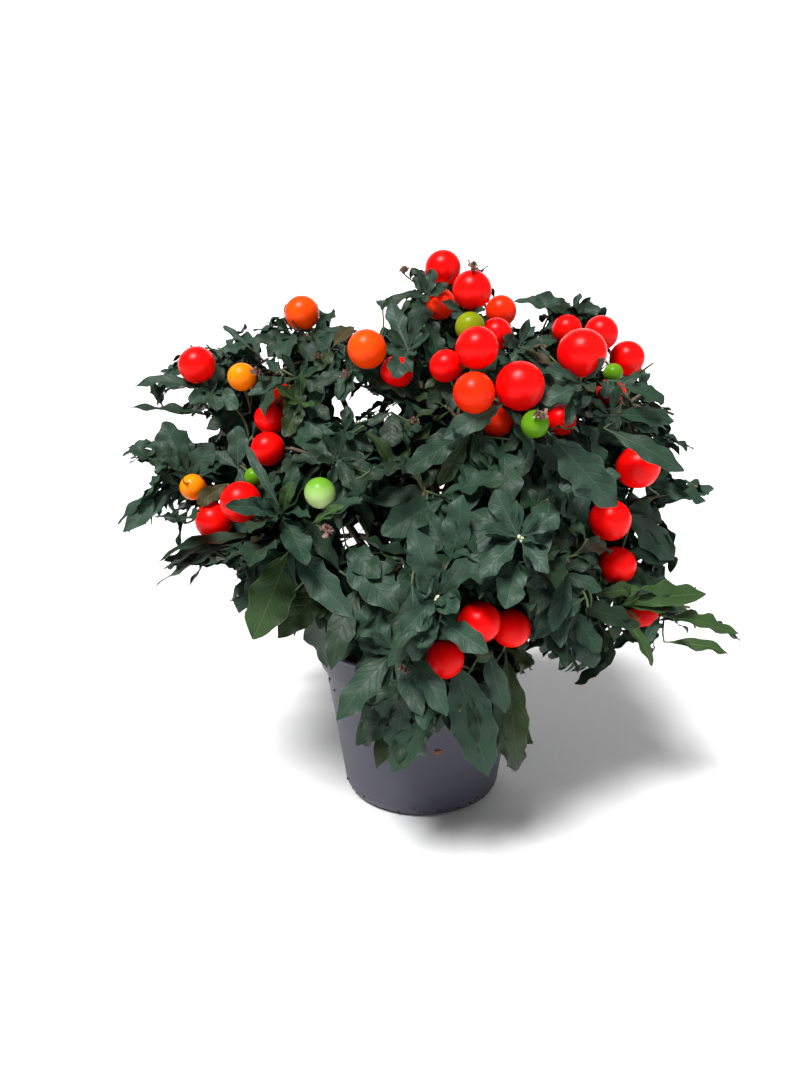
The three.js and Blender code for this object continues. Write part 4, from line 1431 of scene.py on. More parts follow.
@dataclass
class Skeleton:
    """The twigs of all masses: stems, the shoots that fan from them, and finer twigs on the shoots."""

    lines: Frame
    stem_tip_radius: float = 1.3
    shoot_radii: tuple[float, float] = (1.15, 0.7)
    shoot_shares: tuple[float, float] = (0.95, 0.5)
    twig_radii: tuple[float, float] = (0.75, 0.5)
    bearer_radii: tuple[float, float] = (0.75, 0.45)
    fine_count: int = 3
    fine_shares: tuple[float, float] = (0.3, 0.88)
    fine_opening: tuple[float, float] = (48, 68)
    fine_lengths: tuple[float, float] = (14, 24)
    inner_count: int = 4
    inner_shares: tuple[float, float] = (0.4, 0.98)
    inner_lengths: tuple[float, float] = (18, 32)
    reach_varying: tuple[float, float] = (0.9, 1.1)
    cut_short: float = 0.08
    shortest_share: float = 0.25
    # The masses in the shade of others, whose leaves are dealt deeper tones as painted shade
    painted_shade_masses: tuple[str, ...] = ("crown_front", "left_front")

    def __post_init__(self) -> None:
        """Grows all twigs."""
        self.stems: list[Twig] = []
        self.shoots: list[Twig] = []
        self.fine: list[Twig] = []
        self.inner: list[Twig] = []
        for index, mass in enumerate(MASSES):
            self.grow(mass, index)
            bough = self.lines.boughs[mass.name]
            outer = Line(bough.at(0.35), bough.at(0.7), bough.at(1))
            # The outer half of the bough bears deep green leaves only: painted shade inside the crown
            self.inner.append(Twig(outer, index, (0, 0), Tone.DEEP))
            self.fill(bough, index)
        self.bearers = [self.bearer(spray) for spray in SPRAYS]

    def all(self) -> list[Twig]:
        """All twigs, and the outer half of each bough, which bears leaves inside the crown."""
        return [*self.stems, *self.shoots, *self.fine, *self.bearers, *self.inner]

    def grow(self, mass: Mass, index: int) -> None:
        """Grows the stem, the shoots and the finer twigs of a mass.

        Args:
            mass: The mass.
            index: Its number.
        """
        numbers = Stream(SEED + 97 * index)
        way = mass.outward()
        stem = Line(mass.entry() + CLEAR * way, mass.middle())
        self.stems.append(Twig(stem, index, (BOUGH_TIP_RADIUS, self.stem_tip_radius)))
        for k, aim in enumerate(fan(mass, SHOOTS, 2 * math.pi * numbers.next())):
            root = stem.at(blend_of(*self.shoot_shares, k / (SHOOTS - 1)))
            reach = mass.reach_along(aim) * numbers.between(*self.reach_varying)
            tip = clear_of_fruit(mass.middle() + reach * aim)
            bend = root + 0.4 * float(np.linalg.norm(tip - root)) * way
            line = self.cut(Line(root, bend, tip))
            if line:
                shoot = Twig(line, index, self.shoot_radii)
                self.shoots.append(shoot)
                self.branch(shoot, k)

    def cut(self, line: Line) -> Line | None:
        """Cuts a shoot back to where it would hide fruit or sky.

        Args:
            line: The shoot's line.

        Returns:
            The line that is left, or none where it would be short.
        """
        shares = np.linspace(0, 1, 21)
        hidden = np.flatnonzero(hiding(line.at(shares)))
        if not len(hidden):
            return line
        share = shares[hidden[0]] - self.cut_short
        if share <= self.shortest_share:
            return None
        return Line(line.at(0), line.at(share / 2), line.at(share))

    @staticmethod
    def sideways(root: np.ndarray, along: np.ndarray, aim: np.ndarray, length: float) -> Line | None:
        """The line of a twig that springs from the side of a limb.

        Args:
            root: Where it springs from.
            along: The way of the limb there.
            aim: The way that the twig turns to.
            length: Its length.

        Returns:
            The line, or none where it would hide fruit or sky.
        """
        line = Line(root, root + 0.5 * length * unit(aim + along), clear_of_fruit(root + length * aim))
        return None if hiding(line.points[::4]).any() else line

    def branch(self, shoot: Twig, number: int) -> None:
        """Grows finer twigs on a shoot, turned round it by the golden angle, and gives all their colours.

        Args:
            shoot: The shoot.
            number: Its number in its mass.
        """
        mass = MASSES[shoot.mass]
        draws = Stream(SEED + 53 + 131 * shoot.mass + 17 * number)
        for k in range(self.fine_count):
            share = blend_of(*self.fine_shares, k / (self.fine_count - 1))
            along = shoot.line.way(share)
            angle = (k + 0.4 * number) * GOLDEN_ANGLE + draws.between(-0.3, 0.3)
            aim = opened(along, angle, math.radians(draws.between(*self.fine_opening)))
            aim = unit(aim + 0.25 * mass.outward() + 0.1 * UP)
            line = self.sideways(shoot.line.at(share), along, aim, draws.between(*self.fine_lengths))
            if line:
                self.fine.append(Twig(line, shoot.mass, self.twig_radii, self.tone(draws.next(), mass, line)))
        shoot.tone = self.tone(draws.next(), mass, shoot.line)

    def fill(self, bough: Line, number: int) -> None:
        """Grows twigs on the outer part of a bough, which fill the crown between its masses; their leaves are
        all deep green, painted shade inside the crown.

        Args:
            bough: The bough's line.
            number: The number of its mass.
        """
        draws = Stream(SEED + 211 + 19 * number)
        for k in range(self.inner_count):
            share = blend_of(*self.inner_shares, k / (self.inner_count - 1))
            root, along = bough.at(share), bough.way(share)
            aim = 0.5 * along + ring(along, number + k * GOLDEN_ANGLE)
            aim = unit(aim + 0.5 * unit((root - HEART) * (1, 1, 0)))
            line = self.sideways(root, along, aim, draws.between(*self.inner_lengths))
            if line:
                # All deep green: painted shade inside the crown
                self.fine.append(Twig(line, mass_at(line.at(1)), self.twig_radii, Tone.DEEP))

    def bearer(self, spray: Spray) -> Twig:
        """Grows the twig of a known spray from the nearest twig or bough of its mass.

        Args:
            spray: The spray.

        Returns:
            The twig.
        """
        index = next(i for i, mass in enumerate(MASSES) if mass.name == spray.mass)
        end = spray.root()
        limbs = [twig.line for twig in [*self.stems, *self.shoots] if twig.mass == index]
        limbs.append(self.lines.boughs[spray.mass])
        roots = np.concatenate([line.at(np.linspace(0.1, 0.9, 9)) for line in limbs])
        away = np.linalg.norm(roots - end, axis=1) + 0.5 * np.maximum(0, end[1] - roots[:, 1])
        away[away < 5] = np.inf
        out = MASSES[index].outward()

        def route(root: np.ndarray) -> Line:
            """The twig's line from a root."""
            span = float(np.linalg.norm(end - root))
            return Line(root, root + 0.35 * span * out, (root + end) / 2, end)

        return Twig(routed(roots, away, route, None), index, self.bearer_radii)

    def tone(self, draw: float, mass: Mass, line: Line) -> Tone:
        """The colour of a twig's leaves: low in a mass, and in the masses in the shade of others, more twigs
        bear deep green ones, as painted shade.

        Args:
            draw: The draw that decides.
            mass: The twig's mass.
            line: Its line.

        Returns:
            The colour.
        """
        # Painted shade: twigs low in their mass or in a shaded mass draw slate and pale leaves less often and
        # deep green ones more often
        slate = 0.2 if mass.name in self.painted_shade_masses or line.at(1)[2] < mass.at[2] else 0.46
        chances = [(slate, Tone.SLATE), (1.4 * slate, Tone.PALE), (0.95, Tone.DEEP), (0.99, Tone.GREEN)]
        return next((tone for chance, tone in chances if draw < chance), Tone.OLIVE)


class Room:
    """Where leaves may be."""

    BOX_MARGIN = 3.0
    SPACE_MARGIN = 14.0
    LIMB_RADIUS = 3.0
    LEAF_GAP = 0.6
    RIM_GAP = 1.5
    WALL = 5.0
    SOIL_GAP = 2.0

    def __init__(self, lines: Frame, openings: list[Opening]) -> None:
        """Gathers the fruit, limbs and open views.

        Args:
            lines: The lines of trunk and boughs.
            openings: The openings onto the leaves of known sprays.
        """
        self.fruit = np.array([berry.at for berry in ALL_BERRIES], float)
        self.fruit_reach = np.array([berry.across / 2 for berry in ALL_BERRIES]) + self.LEAF_GAP
        limbs = [lines.trunk, *lines.boughs.values()]
        self.limbs = np.concatenate([line.at(np.linspace(0, 1, 16)) for line in limbs])
        fruit = [Opening(b.at, b.across / 2 * b.open_share) for b in ALL_BERRIES if b.open_share > 0]
        self.views = Views([*fruit, *sky_openings(), *openings])
        corners = np.array([CAD_BOX[0], CAD_BOX[1]]) / METRE
        self.low = corners[0] - self.BOX_MARGIN
        self.high = corners[1] + self.BOX_MARGIN

    def allows(self, points: np.ndarray, mass: int) -> bool:
        """Whether a leaf may lie at some points.

        Args:
            points: The points.
            mass: The number of its mass.

        Returns:
            Whether none of them is outside the box, in a thing, in an open view or in another mass's space.
        """
        if (points < self.low).any() or (points > self.high).any() or self.in_pot(points):
            return False
        if near(points, self.fruit, self.fruit_reach) or near(points, self.limbs, self.LIMB_RADIUS):
            return False
        return not self.views.holding(points).any() and self.in_space(points, mass)

    def in_pot(self, points: np.ndarray) -> bool:
        """Whether any point is in the pot's wall or the soil.

        Args:
            points: The points.

        Returns:
            Whether one is.
        """
        away = np.hypot(points[:, 0], points[:, 1])
        beside = (away > RIM_RADIUS + self.RIM_GAP) | (points[:, 2] >= POT_HEIGHT + self.RIM_GAP)
        inside = (away < RIM_RADIUS - self.WALL) & (points[:, 2] > SOIL_TOP + self.SOIL_GAP)
        return bool((~beside & ~inside).any())

    def in_space(self, points: np.ndarray, mass: int) -> bool:
        """Whether all points are in a mass's own space, or only a little outside it.

        Args:
            points: The points.
            mass: The number of the mass.

        Returns:
            Whether they are.
        """
        away = ((points[:, None] - MIDDLES[None]) ** 2).sum(-1) - SIZES
        apart = np.linalg.norm(MIDDLES - MIDDLES[mass], axis=1)
        least = away[:, mass, None] - 2 * self.SPACE_MARGIN * apart
        return bool((away >= least - 1e-6).all())


def near(points: np.ndarray, middles: np.ndarray, reach: float | np.ndarray) -> bool:
    """Whether any point is within reach of any of some middles."""
    return bool((np.linalg.norm(points[:, None] - middles[None], axis=-1) < reach).any())


def margin(length: float, draws: Stream) -> dict[str, float]:
    """How a leaf's edge runs: a longer leaf has more and shallower waves, and a sharper tip.

    Args:
        length: The leaf's length.
        draws: The numbers that vary it.

    Returns:
        The depth and number of its waves and how it closes.
    """
    return {
        "ripple": draws.between(0.8, 1.25) * (0.3 - 0.0026 * length),
        "waves": draws.between(0.85, 1.15) * (1.5 + length / 22),
        "close": draws.between(0.85, 1.1) * (0.55 + 0.006 * length),
    }


@dataclass
class Foliage:
    """The leaves of all twigs, joined by the colour of their sprays."""

    skeleton: Skeleton
    leaves_along_twig: int = 4
    leaves_at_tip: int = 2
    young_leaves: int = 4
    young_lengths: tuple[float, float] = (9, 15)
    length_varying: tuple[float, float] = (0.78, 1.1)
    widths: tuple[float, float] = (0.26, 0.38)
    bends: tuple[float, float] = (0.3, 0.95)
    folds: tuple[float, float] = (0.1, 0.4)
    most_twist: float = 0.5
    opening: tuple[float, float] = (80, 52)
    tip_opening: tuple[float, float] = (64, 36)
    tip_size: float = 0.55
    most_tries: int = 8
    plain_below: float = 22.0
    middling_below: float = 38.0
    leaves_in_piece: int = 700

    def __post_init__(self) -> None:
        """Grows all leaves, first those of the sprays that show from the front."""
        # The finest grid has narrow edge strips, which take the rib colour as a partly painted highlight
        # round the rim
        self.fine_grid = LeafShape(20, (-1, -0.96, -0.5, -0.04, 0.04, 0.5, 0.96, 1))
        self.middling_grid = LeafShape(16, (-1, -0.5, -0.04, 0.04, 0.5, 1))
        self.plain_grid = LeafShape(12, (-1, -0.5, -0.05, 0.05, 0.5, 1))
        self.probe = LeafShape(8, (-1, 0, 1))
        self.sprays: dict[Tone, list[Leaf]] = {tone: [] for tone in Tone}
        openings: list[Opening] = []
        for number, spray in enumerate(SPRAYS):
            openings += self.known(spray, Stream(SEED + 301 + 13 * number))
        self.room = Room(self.skeleton.lines, openings)
        for number, twig in enumerate(self.skeleton.all()):
            self.spray(twig, Stream(SEED + 7 + 61 * number))

    def known(self, spray: Spray, draws: Stream) -> list[Opening]:
        """Sets the leaves of a spray that shows from the front.

        Args:
            spray: The spray.
            draws: The numbers that vary it.

        Returns:
            The openings that keep other leaves from hiding it.
        """
        openings = []
        root = spray.root()
        for across, down, depth, width, tone, level in spray.leaves:
            tip = np.array(seen(across, down, depth))
            front = unit(EYE - (root + tip) / 2)
            face = (0.2 + level) * UP + (1 - level) * front
            face = face + 0.25 * np.array([draws.between(-1, 1) for _ in range(3)])
            looks = {
                "width": 0.9 * width,
                "bend": draws.between(0.25, 0.6) + 0.3 * level,
                "fold": draws.between(0.08, 0.3),
                **margin(float(np.linalg.norm(tip - root)), draws),
                "phase": draws.between(0, 2 * math.pi),
                "twist": draws.between(-0.35, 0.35),
            }
            leaf = Leaf.between(root, tip, unit(face), **looks)
            self.sprays[Tone(tone)].append(leaf)
            openings += self.shown(leaf)
        if len(spray.leaves) > 2:
            self.heart(spray, draws)
        return openings

    def heart(self, spray: Spray, draws: Stream) -> None:
        """Sets the young leaves in the middle of a known spray.

        Args:
            spray: The spray.
            draws: The numbers that vary them.
        """
        root = spray.root()
        out = unit(unit(EYE - root) + 0.6 * UP)
        turn = draws.between(0, 2 * math.pi)
        for k in range(self.young_leaves):
            angle = turn + k * GOLDEN_ANGLE
            way = unit(0.75 * out + ring(out, angle))
            length = draws.between(*self.young_lengths)
            looks = {"width": 0.4, "bend": -0.3, "fold": 0.4, "ripple": 0.15, "waves": 1.8, "phase": angle}
            leaf = Leaf(root + 1.5 * way, way, unit(1.2 * out - way), length, **looks)
            self.sprays[Tone(spray.leaves[0][4])].append(leaf)

    def shown(self, leaf: Leaf) -> list[Opening]:
        """The openings that keep a leaf in view, at steps along it.

        Args:
            leaf: The leaf.

        Returns:
            The openings.
        """
        rows = self.probe.laid([leaf])[0].reshape(-1, 3)
        openings = []
        for share in np.unique(self.probe.share)[2:-1]:
            own = self.probe.share == share
            at = [rows[own & (self.probe.side == side)][0] for side in (-1, 0, 1)]
            breadth = np.cross(at[2] - at[0], unit(at[1] - EYE))
            radius = max(1.2, 0.42 * float(np.linalg.norm(breadth)))
            openings.append(Opening(tuple(at[1]), radius, -4))
        return openings

    def spray(self, twig: Twig, draws: Stream) -> None:
        """Grows the leaves of a twig: larger ones along it, and a rosette of small ones at its tip.

        Args:
            twig: The twig.
            draws: The numbers that vary them.
        """
        for j in range(self.leaves_along_twig):
            share = blend_of(0.2, 0.92, j / (self.leaves_along_twig - 1))
            self.set(twig, share, j, blend_of(1.05, 0.78, share), self.opening, draws)
        for j in range(self.leaves_at_tip):
            self.set(twig, 0.97, self.leaves_along_twig + j, self.tip_size, self.tip_opening, draws)

    def set(self, twig: Twig, share: float, j: int, size: float, opening: tuple, draws: Stream) -> None:
        """Sets one leaf, turned and shortened until there is room for it.

        Args:
            twig: The twig.
            share: Where on the twig it stands.
            j: Its number on the twig.
            size: Its length as a share of the mass's longest leaves.
            opening: How far it opens from the twig low down and at the tip, in degrees.
            draws: The numbers that vary it.
        """
        mass = MASSES[twig.mass]
        root = twig.line.at(share)
        outward = unit(root - HEART)
        length = mass.leaf * size * draws.between(*self.length_varying)
        looks = {
            "width": draws.between(*self.widths) + (0.08 if size < 0.5 else 0),
            "bend": draws.between(*self.bends) + (0.35 if mass.at[2] > 240 else 0),
            "fold": draws.between(*self.folds),
            **margin(length, draws),
            "phase": draws.between(0, 2 * math.pi),
            "twist": draws.between(-self.most_twist, self.most_twist),
        }
        turn = draws.between(-0.35, 0.35)
        along = twig.line.way(share)
        open_angle = math.radians(blend_of(*opening, share * share))
        face = unit(0.7 * outward + UP)
        for t in range(self.most_tries):
            way = opened(along, (j + t) * GOLDEN_ANGLE + turn, open_angle)
            way = unit(way + 0.3 * outward * (1, 1, 0) - (mass.droop - 0.1) * UP)
            if abs(float(way @ face)) > 0.9:
                continue
            leaf = Leaf(root, way, face, length * (1 - 0.03 * t), **looks)
            corners = self.probe.laid([leaf])[0]
            if self.room.allows(corners[self.probe.share > 0.3], twig.mass):
                self.sprays[twig.tone].append(leaf)
                return

    def shape_of(self, leaf: Leaf) -> LeafShape:
        """The shape for a leaf: the longer it is, the finer its grid.

        Args:
            leaf: The leaf.

        Returns:
            The shape.
        """
        if leaf.length < self.plain_below:
            return self.plain_grid
        return self.middling_grid if leaf.length < self.middling_below else self.fine_grid

    def dress(self) -> None:
        """Makes the pieces of each colour of leaf."""
        foliage = ["foliage_" + mass.name for mass in MASSES]
        for tone, leaves in self.sprays.items():
            log.info("%s leaves: %d", tone.name, len(leaves))
            for number, start in enumerate(range(0, len(leaves), self.leaves_in_piece)):
                group = leaves[start : start + self.leaves_in_piece]
                name = f"leaves_{tone.name.lower()}_{number + 1}"
                joined = Joined(name, BLADES[tone], RIBS_AND_PAINTED_EDGE_HIGHLIGHTS[tone])
                for shape in (self.fine_grid, self.middling_grid, self.plain_grid):
                    joined.add_leaves(shape, [leaf for leaf in group if self.shape_of(leaf) is shape])
                piece = joined.piece()
                if foliage:
                    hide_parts(*foliage)
                    foliage = []


@dataclass
class Limbs:
    """The trunk, the boughs and the twigs, with the relief of their bark."""

    skeleton: Skeleton
    trunk_relief: float = 0.55
    bough_relief: float = 0.28
    flare: float = 2.8
    flare_fade: float = 7.0
    flare_lobes: int = 5
    lobe_depth: float = 0.35
    collar: float = 0.25
    collar_reach: float = 4.0
    scars_apart: float = 9.0

    def relief(self, corners: np.ndarray, line: Line, shares: np.ndarray, depth: float) -> np.ndarray:
        """Pushes a tube's corners out and in for furrows along the bark and the scars of old leaves.

        Args:
            corners: The corners.
            line: The line of the tube.
            shares: The share of its length at each corner.
            depth: How deep the relief is.

        Returns:
            The new corners.
        """
        pushed = []
        for corner, out, share in zip(corners, unit(corners - line.at(shares) + NOT_QUITE_NONE), shares):
            spot = Vector(corner) * 0.45
            furrow = noise.noise(Vector((spot.x * 2.2, spot.y * 2.2, spot.z * 0.5)))
            lump = noise.noise(Vector((spot.x * 0.6, spot.y * 0.6, spot.z * 0.9)) + Vector((7, 3, 1)))
            scar = bell(0, 0.12, (share * line.length / self.scars_apart) % 1)
            pushed.append(corner + out * depth * (furrow + 0.8 * lump + 0.35 * scar))
        return np.array(pushed)

    def dress(self) -> None:
        """Makes the trunk, the boughs, the shoots and the finer twigs."""
        self.dress_trunk()
        self.dress_boughs()
        self.dress_twigs()

    def dress_trunk(self) -> None:
        """Makes the trunk, with its taper and its lobed flare."""
        tube = Tube(36, 48)
        line, share = self.skeleton.lines.trunk, tube.shares
        lobes = 1 + self.lobe_depth * np.cos(self.flare_lobes * tube.angles)
        flare = self.flare * np.exp(-self.flare_fade * share) * lobes
        radii = blend_of(TRUNK_FOOT_RADIUS, TRUNK_TIP_RADIUS, share) + flare
        corners = self.relief(tube.along(line, radii), line, share, self.trunk_relief)
        corners[:, 2] = np.maximum(corners[:, 2], SOIL_TOP)
        joined = Joined("trunk_bark", BARK)
        joined.add(tube.stencil, corners[None])
        piece = joined.piece()
        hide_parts("trunk")

    def dress_boughs(self) -> None:
        """Makes the boughs, each with a collar where it springs from its limb."""
        tube = Tube(14, 36)
        roots = {"tip": TRUNK_TIP_RADIUS, "trunk": BOUGH_ROOT_RADIUS}
        joined = Joined("boughs_bark", BARK)
        for mass in MASSES:
            line = self.skeleton.lines.boughs[mass.name]
            root = roots.get(mass.source, SIDE_BOUGH_ROOT_RADIUS)
            collar = self.collar * root * np.exp(-tube.shares * line.length / self.collar_reach)
            radii = blend_of(root, BOUGH_TIP_RADIUS, tube.shares) + collar
            corners = self.relief(tube.along(line, radii), line, tube.shares, self.bough_relief)
            joined.add(tube.stencil, corners[None])
        piece = joined.piece()
        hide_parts(*("bough_" + mass.name for mass in MASSES))

    def dress_twigs(self) -> None:
        """Makes the woody stems and shoots, and the finer green twigs."""
        woody = Joined("twigs_woody", BARK)
        green = Joined("twigs_green", GREEN_WOOD)
        thick, thin = Tube(8, 10), Tube(6, 5)
        for twig in [*self.skeleton.stems, *self.skeleton.shoots]:
            woody.add_tube(thick, twig.line, blend_of(*twig.thick, thick.shares))
        for twig in [*self.skeleton.fine, *self.skeleton.bearers]:
            green.add_tube(thin, twig.line, blend_of(*twig.thick, thin.shares))
        woody.piece()
        green.piece()


@dataclass
class Fruit:
    """The fruit with their stalks, calyces and what is left of their blossoms."""

    skeleton: Skeleton
    shape: LeafShape
    dimple: float = 0.07
    flattening: float = 0.965
    stalk_radius: float = 0.55
    stalk_swelling: float = 0.75
    sepal_count: int = 5
    sepal_share: float = 0.75
    remains_size: float = 6.0

    def __post_init__(self) -> None:
        """Makes the round stencil, dimpled where the stalk meets it."""
        bm = bmesh.new()
        bmesh.ops.create_uvsphere(bm, u_segments=28, v_segments=18, radius=1)
        for vert in bm.verts:
            polar = math.acos(max(-1, min(1, vert.co.z)))
            vert.co *= 1 - self.dimple * bell(0, 0.3, polar) - 0.02 * bell(math.pi, 0.2, polar)
            vert.co.z *= self.flattening
        self.ball = Stencil(bm)
        self.tube = Tube(7, 8)

    def stalk(self, berry: Berry, index: int) -> Line:
        """The line of a fruit's stalk, from the nearest twig of its mass that it can spring from.

        Args:
            berry: The fruit.
            index: The number of its mass.

        Returns:
            The line, which ends in the fruit's far side.
        """
        middle, radius = np.array(berry.at), berry.across / 2
        front = unit(EYE - middle)
        lines = [twig.line for twig in self.skeleton.all() if twig.mass == index]
        roots = np.concatenate([line.at(np.linspace(0.15, 0.95, 9)) for line in lines])
        away = np.linalg.norm(roots - middle, axis=1)
        nearer = ((roots - middle) / away[:, None]) @ front
        cost = away + 24 * np.maximum(0, nearer + 0.2)
        cost[away < radius + 4] = np.inf

        def route(root: np.ndarray) -> Line:
            """The stalk's line from a root.

            Args:
                root: The root.

            Returns:
                The line.
            """
            aim = unit(root - middle)
            aim = unit(aim - max(0, float(aim @ front) + 0.35) * front)
            length = float(np.linalg.norm(root - middle)) - radius
            bend = middle + (radius + 0.45 * length) * aim + 0.1 * length * UP
            return Line(root, bend, middle + 0.9 * radius * aim)

        return routed(roots, cost, route, berry)

    def dress(self) -> None:
        """Makes a piece of each ripeness, and pieces of the stalks, calyces and remains."""
        balls = {ripeness: Joined("fruit_" + ripeness.value, SKINS[ripeness]) for ripeness in Ripeness}
        stalks = Joined("fruit_stalks", GREEN_WOOD)
        sepals: list[Leaf] = []
        remains: list[Leaf] = []
        for index, own in enumerate(BERRIES):
            for k, berry in enumerate(own):
                middle, radius = np.array(berry.at), berry.across / 2
                line = self.stalk(berry, index)
                end = line.at(1)
                aim = unit(end - middle)
                ball = middle + radius * stood(self.ball.corners, aim)
                balls[berry.ripeness].add(self.ball, ball[None])
                swelling = self.stalk_swelling * self.tube.shares**3
                stalks.add_tube(self.tube, line, self.stalk_radius + swelling)
                draws = Stream(SEED + 11 + 37 * index + 5 * k)
                sepals += self.calyx(end, aim, radius, draws)
                if berry.remains:
                    way = unit(np.array(berry.remains))
                    remains += withered(middle + 0.97 * radius * way, way, self.remains_size, draws)
        for joined in balls.values():
            joined.piece()
        stalks.piece()
        calyces = Joined("fruit_calyces", CALYX, CALYX)
        calyces.add_leaves(self.shape, sepals)
        calyces.piece()
        dried = Joined("fruit_dried_blossom", WITHERED, WITHERED)
        dried.add_leaves(self.shape, remains)
        dried.piece()

    def calyx(self, end: np.ndarray, aim: np.ndarray, radius: float, draws: Stream) -> list[Leaf]:
        """The narrow sepals that lie on the fruit round its stalk.

        Args:
            end: Where the stalk ends.
            aim: The way from the fruit's middle to there.
            radius: The fruit's radius.
            draws: The numbers that vary them.

        Returns:
            The sepals.
        """
        sepals = []
        length = self.sepal_share * radius
        for k in range(self.sepal_count):
            angle = 2 * math.pi * (k + draws.between(-0.1, 0.1)) / self.sepal_count
            looks = {"width": 0.34, "bend": 0.9 * length / radius, "fold": 0.1, "ripple": 0.05, "waves": 1}
            sepals.append(Leaf(end + 0.03 * radius * aim, ring(aim, angle), aim, length, **looks))
        return sepals


# How many petals of a withered blossom show
PETALS = 7


def withered(root: np.ndarray, way: np.ndarray, size: float, draws: Stream) -> list[Leaf]:
    """The crumpled petals of one withered blossom.

    Args:
        root: Where it clings.
        way: The way that it points.
        size: The length of its petals.
        draws: The numbers that vary it.

    Returns:
        The petals.
    """
    petals = []
    for k in range(PETALS):
        out = ring(way, k * GOLDEN_ANGLE + draws.between(-0.4, 0.4))
        along = unit(way + draws.between(0.2, 0.9) * out)
        length = size * draws.between(0.7, 1.1)
        bend, twist = draws.between(-0.8, 1.8), draws.between(-1.5, 1.5)
        looks = {"width": 0.5, "fold": 0.5, "ripple": 0.5, "waves": 2.5, "phase": 6 * draws.next()}
        petals.append(Leaf(root, along, out, length, bend=bend, twist=twist, **looks))
    return petals


# The places of the buds and of the withered flowers, as read off the front view
BUDS = [seen(437, 597, -118), seen(395, 650, -108), seen(519, 538, -116)]
SPENT = [
    seen(404, 274, -20),
    seen(259, 375, -40),
    seen(347, 377, -62),
    seen(319, 360, -32),
    seen(414, 423, -76),
    seen(373, 475, -84),
    seen(329, 530, -98),
    seen(405, 668, -122),
    seen(564, 561, -90),
]


@dataclass
class Blossom:
    """Buds and withered flowers among the leaves."""

    skeleton: Skeleton
    shape: LeafShape
    cluster: int = 4
    bud_stalk: float = 1.7
    bud_breadth: float = 0.55
    bud_sizes: tuple[float, float] = (1.0, 1.6)
    flower_size: float = 5.0
    stalk_radius: float = 0.4

    def nearest_tip(self, place: np.ndarray) -> np.ndarray:
        """The nearest tip of a known spray's twig to a place."""
        tips = np.array([twig.line.at(1) for twig in self.skeleton.bearers])
        return tips[int(np.argmin(np.linalg.norm(tips - place, axis=1)))]

    def dress(self) -> None:
        """Makes the buds in clusters at twig tips, and the withered flowers."""
        bm = bmesh.new()
        bmesh.ops.create_uvsphere(bm, u_segments=10, v_segments=8, radius=1)
        bmesh.ops.scale(bm, vec=Vector((self.bud_breadth, self.bud_breadth, 1)), verts=bm.verts)
        bud = Stencil(bm)
        buds = Joined("flower_buds", BUD)
        for number, place in enumerate(np.array(BUDS)):
            draws = Stream(SEED + 401 + number)
            tip = self.nearest_tip(place)
            for _ in range(self.cluster):
                way = unit(unit(tip - HEART) + np.array([draws.between(-0.7, 0.7) for _ in range(3)]))
                size = draws.between(*self.bud_sizes)
                buds.add(bud, (tip + self.bud_stalk * way + size * stood(bud.corners, way))[None])
        flowers: list[Leaf] = []
        stalks = Joined("blossom_stalks", GREEN_WOOD)
        tube = Tube(5, 6)
        radii = np.full(len(tube.shares), self.stalk_radius)
        for number, place in enumerate(np.array(SPENT)):
            tip = self.nearest_tip(place)
            way = unit(unit(place - HEART) + 0.5 * unit(EYE - place))
            flowers += withered(place, way, self.flower_size, Stream(SEED + 501 + number))
            stalks.add_tube(tube, Line(tip, (tip + place) / 2 - 2 * way, place), radii)
        stalks.piece()
        buds.piece()
        joined = Joined("withered_blossom", WITHERED, WITHERED)
        joined.add_leaves(self.shape, flowers)
        joined.piece()


def grit(seed: float, roughness: float) -> Stencil:
    """A rough grain of earth.

    Args:
        seed: What sets its lumps apart from another's.
        roughness: How high they are, as a share of its radius.

    Returns:
        The grain, with a radius of one.
    """
    bm = bmesh.new()
    bmesh.ops.create_icosphere(bm, subdivisions=1, radius=1)
    for vert in bm.verts:
        vert.co *= 1 + roughness * noise.noise(vert.co * seed)
    return Stencil(bm)


